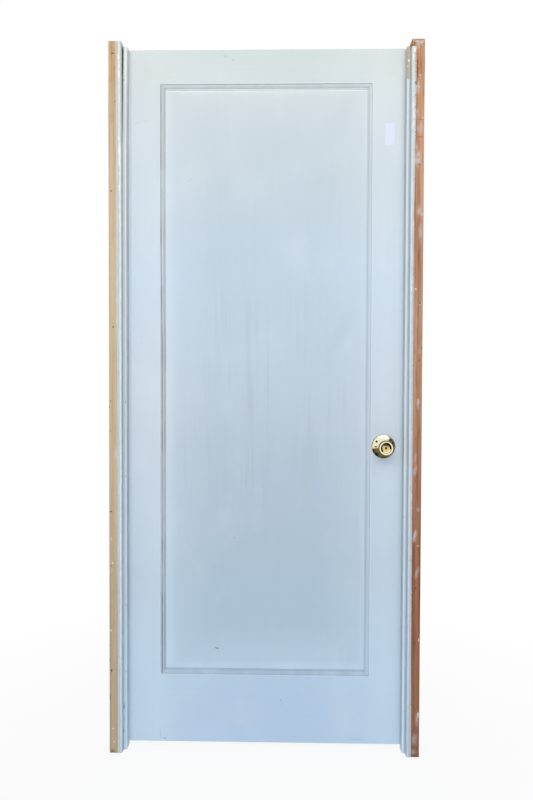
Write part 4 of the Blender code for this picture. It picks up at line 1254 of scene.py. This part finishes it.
def knob_profile(centre_hole):
    """Tulip knob: straight neck, flare, rounded rim, and a face dished round its disc."""
    rim_middle = KNOB_PROJECTION - KNOB_RIM_WIDTH / 2
    half_rim = KNOB_RIM_WIDTH / 2
    profile = [(0, KNOB_FOOT), (NECK_RADIUS, KNOB_FOOT), (NECK_RADIUS, NECK_TOP)]
    flare = rim_middle - NECK_TOP
    for step in range(1, 33):
        share = step / 32
        grow = share**1.5 * (2.2 - 1.2 * share)
        radius = NECK_RADIUS + (KNOB_RADIUS - NECK_RADIUS) * grow
        profile.append((min(radius, KNOB_RADIUS), NECK_TOP + flare * share))
    for step in range(1, 17):
        turn = math.pi / 2 * step / 16
        radius = KNOB_RADIUS - (KNOB_RADIUS - LIP_OUTER) * (1 - math.cos(turn))
        profile.append((radius, rim_middle + half_rim * math.sin(turn)))
    face = [
        profile.pop(),
        (LIP_INNER, KNOB_PROJECTION - 0.0002),
        (DISC_RADIUS, KNOB_PROJECTION - DISC_SUNK),
        (DISC_RADIUS * 0.6, KNOB_PROJECTION - DISC_SUNK - 0.0003),
        (centre_hole, KNOB_PROJECTION - DISC_SUNK - 0.0004),
        (centre_hole, KNOB_PROJECTION - HOLE_DEPTH),
        (0, KNOB_PROJECTION - HOLE_DEPTH),
    ]
    return profile + eased(face, 0.0005)


def rose_profile():
    """A domed shell, its rim on the door and its hole round the knob's neck."""
    rim = ROSE_BASE + ROSE_RIM
    outer = [(ROSE_RADIUS - 0.0006, ROSE_BASE), (ROSE_RADIUS, ROSE_BASE + 0.0004), (ROSE_RADIUS, rim)]
    inside = ROSE_RADIUS - 2 * ROSE_WALL
    inner = [(inside, ROSE_BASE)]
    for step in range(1, 33):
        share = step / 32
        lift = math.sin(share * math.pi / 2)
        radius = ROSE_RADIUS + (ROSE_HOLE_RADIUS - ROSE_RADIUS) * share
        outer.append((radius, rim + (ROSE_HEIGHT - rim) * lift))
        radius = inside + (ROSE_HOLE_RADIUS - inside) * share
        inner.append((radius, ROSE_BASE + (ROSE_HEIGHT - ROSE_BASE - ROSE_WALL) * lift))
    return outer + list(reversed(inner)) + [outer[0]]


def rose_surface(radius):
    """Height and slope of the rose's dome at a distance from its middle."""
    turn = (ROSE_RADIUS - radius) / (ROSE_RADIUS - ROSE_HOLE_RADIUS) * math.pi / 2
    rise = ROSE_HEIGHT - ROSE_BASE - ROSE_RIM
    height = ROSE_BASE + ROSE_RIM + rise * math.sin(turn)
    slope = rise * math.cos(turn) * math.pi / 2 / (ROSE_RADIUS - ROSE_HOLE_RADIUS)
    return height, slope


def add_screw(bm, centre, out, radius, turn=0.3, dome=0.0004, recess=0.0011):
    """A cross-headed screw with a low dome, sunk to its edge."""
    side = out.orthogonal().normalized()
    other = out.cross(side)
    around = 40
    rings = 9
    half_slot = radius * 0.16
    slot_reach = radius * 0.62
    loops = []
    middle = bm.verts.new(centre + out * (dome - recess))
    for ring in range(1, rings + 1):
        share = ring / rings
        loop = []
        for step in range(around):
            angle = 2 * math.pi * step / around
            x = math.cos(angle) * radius * share
            y = math.sin(angle) * radius * share
            height = dome * (1 - share**2)
            narrow, long = sorted((abs(x), abs(y)))
            if narrow < half_slot and long < slot_reach:
                height -= recess * (1 - 0.5 * share)
            across = x * math.cos(turn) - y * math.sin(turn)
            along = x * math.sin(turn) + y * math.cos(turn)
            loop.append(bm.verts.new(centre + side * across + other * along + out * height))
        loops.append(loop)
    low = [bm.verts.new(vert.co - out * SCREW_SHANK) for vert in loops[-1]]
    base = bm.verts.new(centre - out * SCREW_SHANK)
    for step in range(around):
        after = (step + 1) % around
        bm.faces.new([middle, loops[0][step], loops[0][after]])
        for inner, outer in zip(loops, loops[1:]):
            bm.faces.new([inner[step], outer[step], outer[after], inner[after]])
        bm.faces.new([loops[-1][step], low[step], low[after], loops[-1][after]])
        bm.faces.new([base, low[after], low[step]])


# Rose screws, across and up from the spindle
ROSE_SCREWS = ((-0.0206, 0.0151), (0.0206, -0.0151))
ROSE_SCREW_RADIUS = 0.0033
SCREW_SHANK = 0.0012


def build_knob_set(made):
    """Smooth turned knobs and roses in place of the faceted ones, and the rose screws."""
    for side, face, out, hole in (
        ("front", DOOR_FRONT, FORWARD, HOLE_RADIUS),
        ("back", DOOR_BACK, BACKWARD, BACK_HOLE_RADIUS),
    ):
        centre = Vector((KNOB_X, face, KNOB_Z))
        bm = bmesh.new()
        add_turned(bm, knob_profile(hole), centre, out)
        knob = new_piece(f"{side}_knob_turned", bm, made["knob_brass"], "knob")
        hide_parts(f"{side}_knob")
        bm = bmesh.new()
        add_turned(bm, rose_profile(), centre, out)
        rose = new_piece(f"{side}_rose_turned", bm, made["rose_brass"], "door")
        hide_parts(f"{side}_rose")
        bm = bmesh.new()
        for across, rise in ROSE_SCREWS:
            away = Vector((across, 0, rise))
            height, slope = rose_surface(away.length)
            lean = (out + away.normalized() * slope).normalized()
            add_screw(bm, centre + away + out * (height + 0.0005), lean, ROSE_SCREW_RADIUS, recess=0.0008)
        new_piece(f"{side}_rose_screws", bm, made["dark_screw"], "door")
    # A near black floor in the release hole, painted shade of its depth
    bm = bmesh.new()
    low = KNOB_PROJECTION - HOLE_DEPTH - 0.0004
    high = KNOB_PROJECTION - HOLE_DEPTH + 0.0002
    reach = HOLE_RADIUS - 0.0001
    plug = [(0, low), (reach, low), (reach, high), (0, high)]
    add_turned(bm, plug, Vector((KNOB_X, DOOR_FRONT, KNOB_Z)), FORWARD, 48)
    new_piece("release_hole_floor", bm, made["hole"], "knob")


def build_label():
    """A small blank paper label, its lower corner starting to lift."""
    g = Finish("label_paper", roughness=0.55)
    fibre = g.noise((800, 800, 800), detail=3.0)
    g.link(g.mix(g.spread(fibre, 0.3, 0.7), (230, 236, 253), (225, 231, 250)), "Base Color")
    g.link(g.bump(fibre, 0.00004, 0.3), "Normal")
    width = LABEL_HIGH[0] - LABEL_LOW[0]
    height = LABEL_HIGH[1] - LABEL_LOW[1]

    def surface(u, v):
        down = min(v, 1 - v) * height
        inset = 0.0
        if down < LABEL_CORNER:
            inset = LABEL_CORNER - math.sqrt(LABEL_CORNER**2 - (LABEL_CORNER - down) ** 2)
        x = LABEL_LOW[0] + inset + u * (width - 2 * inset)
        z = LABEL_LOW[1] + v * height
        curl = LABEL_CURL * max(0.0, (u - 0.6) / 0.4) ** 2 * max(0.0, (0.25 - v) / 0.25) ** 2
        return Vector((x, DOOR_FRONT, z)), FORWARD, LABEL_THICKNESS + curl

    bm = bmesh.new()
    add_skin(bm, 20, 40, surface, sink=0.00002)
    new_piece("blank_label", bm, g.material, "door")


# Paint over the joints, and the height up to which it is gone at the lower left
JOINT_HALF_WIDTH = 0.01
JOINT_THICKNESS = 0.0001
CRACK_HEIGHT = 0.034


def build_joint_paint(made):
    """Paint that bridges the joints of stiles and rails. At the lower left it has cracked near the floor."""
    for place, low, high in (
        ("top", TOP_RAIL_EDGE + 0.0004, STILE_HIGH.z - 0.0008),
        ("bottom", STILE_LOW.z + 0.0008, BOTTOM_RAIL_EDGE - 0.0004),
    ):
        bm = bmesh.new()
        for edge in (LEFT_STILE_EDGE, RIGHT_STILE_EDGE):
            for face, out in ((DOOR_FRONT, FORWARD), (DOOR_BACK, BACKWARD)):
                cracked = place == "bottom" and edge == LEFT_STILE_EDGE and face == DOOR_FRONT
                foot = low + CRACK_HEIGHT if cracked else low

                def surface(u, v, edge=edge, face=face, out=out, low=foot, high=high):
                    z = low + v * (high - low)
                    side = 2 * u - 1
                    reach = JOINT_HALF_WIDTH * (1 + 0.25 * ripple(0, z, edge, 10, 18))
                    thick = JOINT_THICKNESS * (1 - side * side)
                    thick += 0.00001 * ripple(side, z, edge + face, 2.0, 60)
                    return Vector((edge + side * reach, face, z)), out, thick

                add_skin(bm, 10, 90, surface, sink=0.00006)
        new_piece(f"joint_paint_{place}", bm, made["joint_film"], "door")


# Hinge screws, up from the hinge's middle and in from its leaf's outer edge
HINGE_SCREWS = ((0.03, 0.011), (0.0, 0.019), (-0.03, 0.011))
HINGE_SCREW_RADIUS = 0.0036
# Strike plate and faceplate screws, up and down from the latch
PLATE_SCREW_RISE = 0.0205
PLATE_SCREW_RADIUS = 0.0034
LATCH_EDGE_BEVEL = math.radians(3)


def build_screws(made):
    """Cross-headed screws in the hinge leaves, the strike plate and the faceplate."""
    for body, side, direction in (("frame", "jamb", 1), ("door", "door", -1)):
        bm = bmesh.new()
        for place in ("top", "middle", "bottom"):
            low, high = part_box(f"{side}_leaf_{place}")
            middle = (low.z + high.z) / 2
            face = HINGE_FACE if side == "jamb" else STILE_LOW.x
            for rise, back in HINGE_SCREWS:
                centre = Vector((face, low.y + back, middle + rise))
                add_screw(bm, centre, RIGHT * direction, HINGE_SCREW_RADIUS, turn=rise * 40 + direction)
        new_piece(f"{side}_hinge_screws", bm, made["dull_brass"], body)
    middle_y = (DOOR_FRONT + DOOR_BACK) / 2
    out = Vector((math.cos(LATCH_EDGE_BEVEL), -math.sin(LATCH_EDGE_BEVEL), 0))
    edge = LATCH_STILE_HIGH.x - (DOOR_BACK - DOOR_FRONT) / 2 * math.tan(LATCH_EDGE_BEVEL)
    for name, body, x, way in (
        ("strike_screws", "frame", STRIKE_FACE, -RIGHT),
        ("faceplate_screws", "door", edge, out),
    ):
        bm = bmesh.new()
        for rise in (-PLATE_SCREW_RISE, PLATE_SCREW_RISE):
            add_screw(bm, Vector((x, middle_y, KNOB_Z + rise)), way, PLATE_SCREW_RADIUS, turn=rise * 30)
        new_piece(name, bm, made["dull_brass"], body)


def add_lamp(name, place, target, width, height, power, colour):
    data = bpy.data.lights.new(name, "AREA")
    data.shape = "RECTANGLE"
    data.size = width
    data.size_y = height
    data.energy = power
    data.color = colour
    lamp = bpy.data.objects.new(name, data)
    lamp.location = place
    lamp.rotation_euler = (Vector(target) - Vector(place)).to_track_quat("-Z", "Y").to_euler()
    bpy.context.scene.collection.objects.link(lamp)
    return lamp


def add_disc(name, radius, place):
    bm = bmesh.new()
    bmesh.ops.create_circle(bm, cap_ends=True, segments=96, radius=radius)
    mesh = bpy.data.meshes.new(name)
    bm.to_mesh(mesh)
    bm.free()
    disc = bpy.data.objects.new(name, mesh)
    disc.location = place
    bpy.context.scene.collection.objects.link(disc)
    return disc


def add_card(name, radius, place, facing, colour, far_colour=None, fade=(0.0, 1.0)):
    """A dark disc that shows only in reflections. Along its Y it may fade to a second colour."""
    card = add_disc(name, radius, place)
    if facing is not UP:
        card.rotation_euler = (Vector(facing) - Vector(place)).to_track_quat("Z", "Y").to_euler()
    g = Finish(name, roughness=1.0)
    g.shader.inputs["Base Color"].default_value = colour
    if far_colour is not None:
        g.link(g.mix(g.spread(g.axis("Y"), *fade), colour, far_colour), "Base Color")
    put(card, g.material)
    card.visible_camera = False
    card.visible_diffuse = False
    card.visible_transmission = False
    card.visible_shadow = False


FLOOR_RADIUS = 9.0
FLOOR_GAP = 0.0004
CARD_DARK = (0.03, 0.022, 0.012, 1)
# Cards round the knob: name, radius, away from the knob, colour
CARDS = (
    ("side_card", 0.75, (1.75, -1.75, -0.1), (0.2, 0.18, 0.1, 1)),
    ("right_card", 0.75, (1.5, -0.28, 0.3), (0.16, 0.135, 0.07, 1)),
    ("left_card", 0.42, (-1.45, -0.65, -0.22), (0.06, 0.045, 0.022, 1)),
)
# Lamps: name, place, what it faces, width, height, power, colour
LAMPS = (
    ("key", (0.45, -3.2, 2.7), (0.43, 0, 1.3), 3.0, 1.8, 58, (1.0, 0.97, 0.92)),
    ("low_fill", (0.5, -2.7, 0.3), (0.43, 0, 0.2), 2.0, 0.5, 10, (0.44, 0.73, 1.0)),
    ("back_fill", (1.1, 3.0, 2.2), (0.43, 0, 1.2), 2.6, 1.8, 42, (1.0, 0.98, 0.95)),
)
# Lamps that polished metal doesn't show
DULL_LAMPS = ("key", "low_fill")


def build_stage():
    """Pale floor and white surround, a soft key high in front, and dark cards that only reflections show."""
    floor = add_disc("floor", FLOOR_RADIUS, (0.43, 0, -FLOOR_GAP))
    g = Finish("floor_white", roughness=0.9)
    g.shader.inputs["Base Color"].default_value = (0.86, 0.86, 0.86, 1)
    glow = g.node("ShaderNodeEmission", {"Color": (1, 1, 1, 1), "Strength": 1.0})
    share = g.times(g.background_rays(), g.spread(g.away(g.place), 0.5, 1.7, 0.88, 1.0))
    lit = g.node("ShaderNodeMixShader", {0: share, 1: g.shader.outputs[0], 2: glow.outputs[0]})
    g.tree.links.new(lit.outputs[0], g.tree.nodes["Material Output"].inputs["Surface"])
    put(floor, g.material)

    knob = Vector((KNOB_X, KNOB_LOW.y, KNOB_Z))
    add_card("ground_card", 2.15, (0.43, -2.25, 0.01), UP, CARD_DARK, (0.2, 0.16, 0.085, 1), (1.9, 1.5))
    for name, radius, away, colour in CARDS:
        add_card(name, radius, knob + Vector(away), knob, colour)
    for name, place, target, width, height, power, colour in LAMPS:
        lamp = add_lamp(name, place, target, width, height, power, colour)
        lamp.visible_glossy = name not in DULL_LAMPS
    glint = add_lamp("glint", (0.78, -1.6, 2.65), knob, 2.4, 0.45, 5, (1.0, 1.0, 0.97))
    glint.visible_diffuse = False

    world = bpy.data.worlds.new("surround")
    world.use_nodes = True
    bpy.context.scene.world = world
    g = Graph(world.node_tree)
    light = g.tree.nodes["Background"]
    g.fill(light.inputs["Color"], (0.95, 0.97, 1.0, 1))
    g.fill(light.inputs["Strength"], 0.5)
    white = g.node("ShaderNodeBackground", {"Color": (1, 1, 1, 1), "Strength": 1.0})
    either = {0: g.background_rays(), 1: light.outputs[0], 2: white.outputs[0]}
    g.fill(g.tree.nodes["World Output"].inputs["Surface"], g.node("ShaderNodeMixShader", either).outputs[0])


def build_camera():
    data = bpy.data.cameras.new("camera")
    data.sensor_width = SENSOR
    data.lens = FOCAL_PIXELS / IMAGE_HEIGHT_PIXELS * SENSOR
    camera = bpy.data.objects.new("camera", data)
    flat = math.cos(CAMERA_PITCH)
    forward = Vector((math.sin(CAMERA_YAW) * flat, math.cos(CAMERA_YAW) * flat, math.sin(CAMERA_PITCH)))
    level_right = Vector((math.cos(CAMERA_YAW), -math.sin(CAMERA_YAW), 0))
    level_up = level_right.cross(forward)
    right = level_right * math.cos(CAMERA_ROLL) + level_up * math.sin(CAMERA_ROLL)
    up = right.cross(forward)
    turn = Matrix((right, up, -forward)).transposed()
    camera.matrix_world = Matrix.Translation(CAMERA_PLACE) @ turn.to_4x4()
    bpy.context.scene.collection.objects.link(camera)
    bpy.context.scene.camera = camera


def main():
    made = build_materials()
    build_leg_surfaces(made)
    build_knob_set(made)
    build_label()
    build_joint_paint(made)
    build_screws(made)
    build_stage()
    build_camera()
    bpy.context.scene.view_settings.view_transform = "Standard"


main()
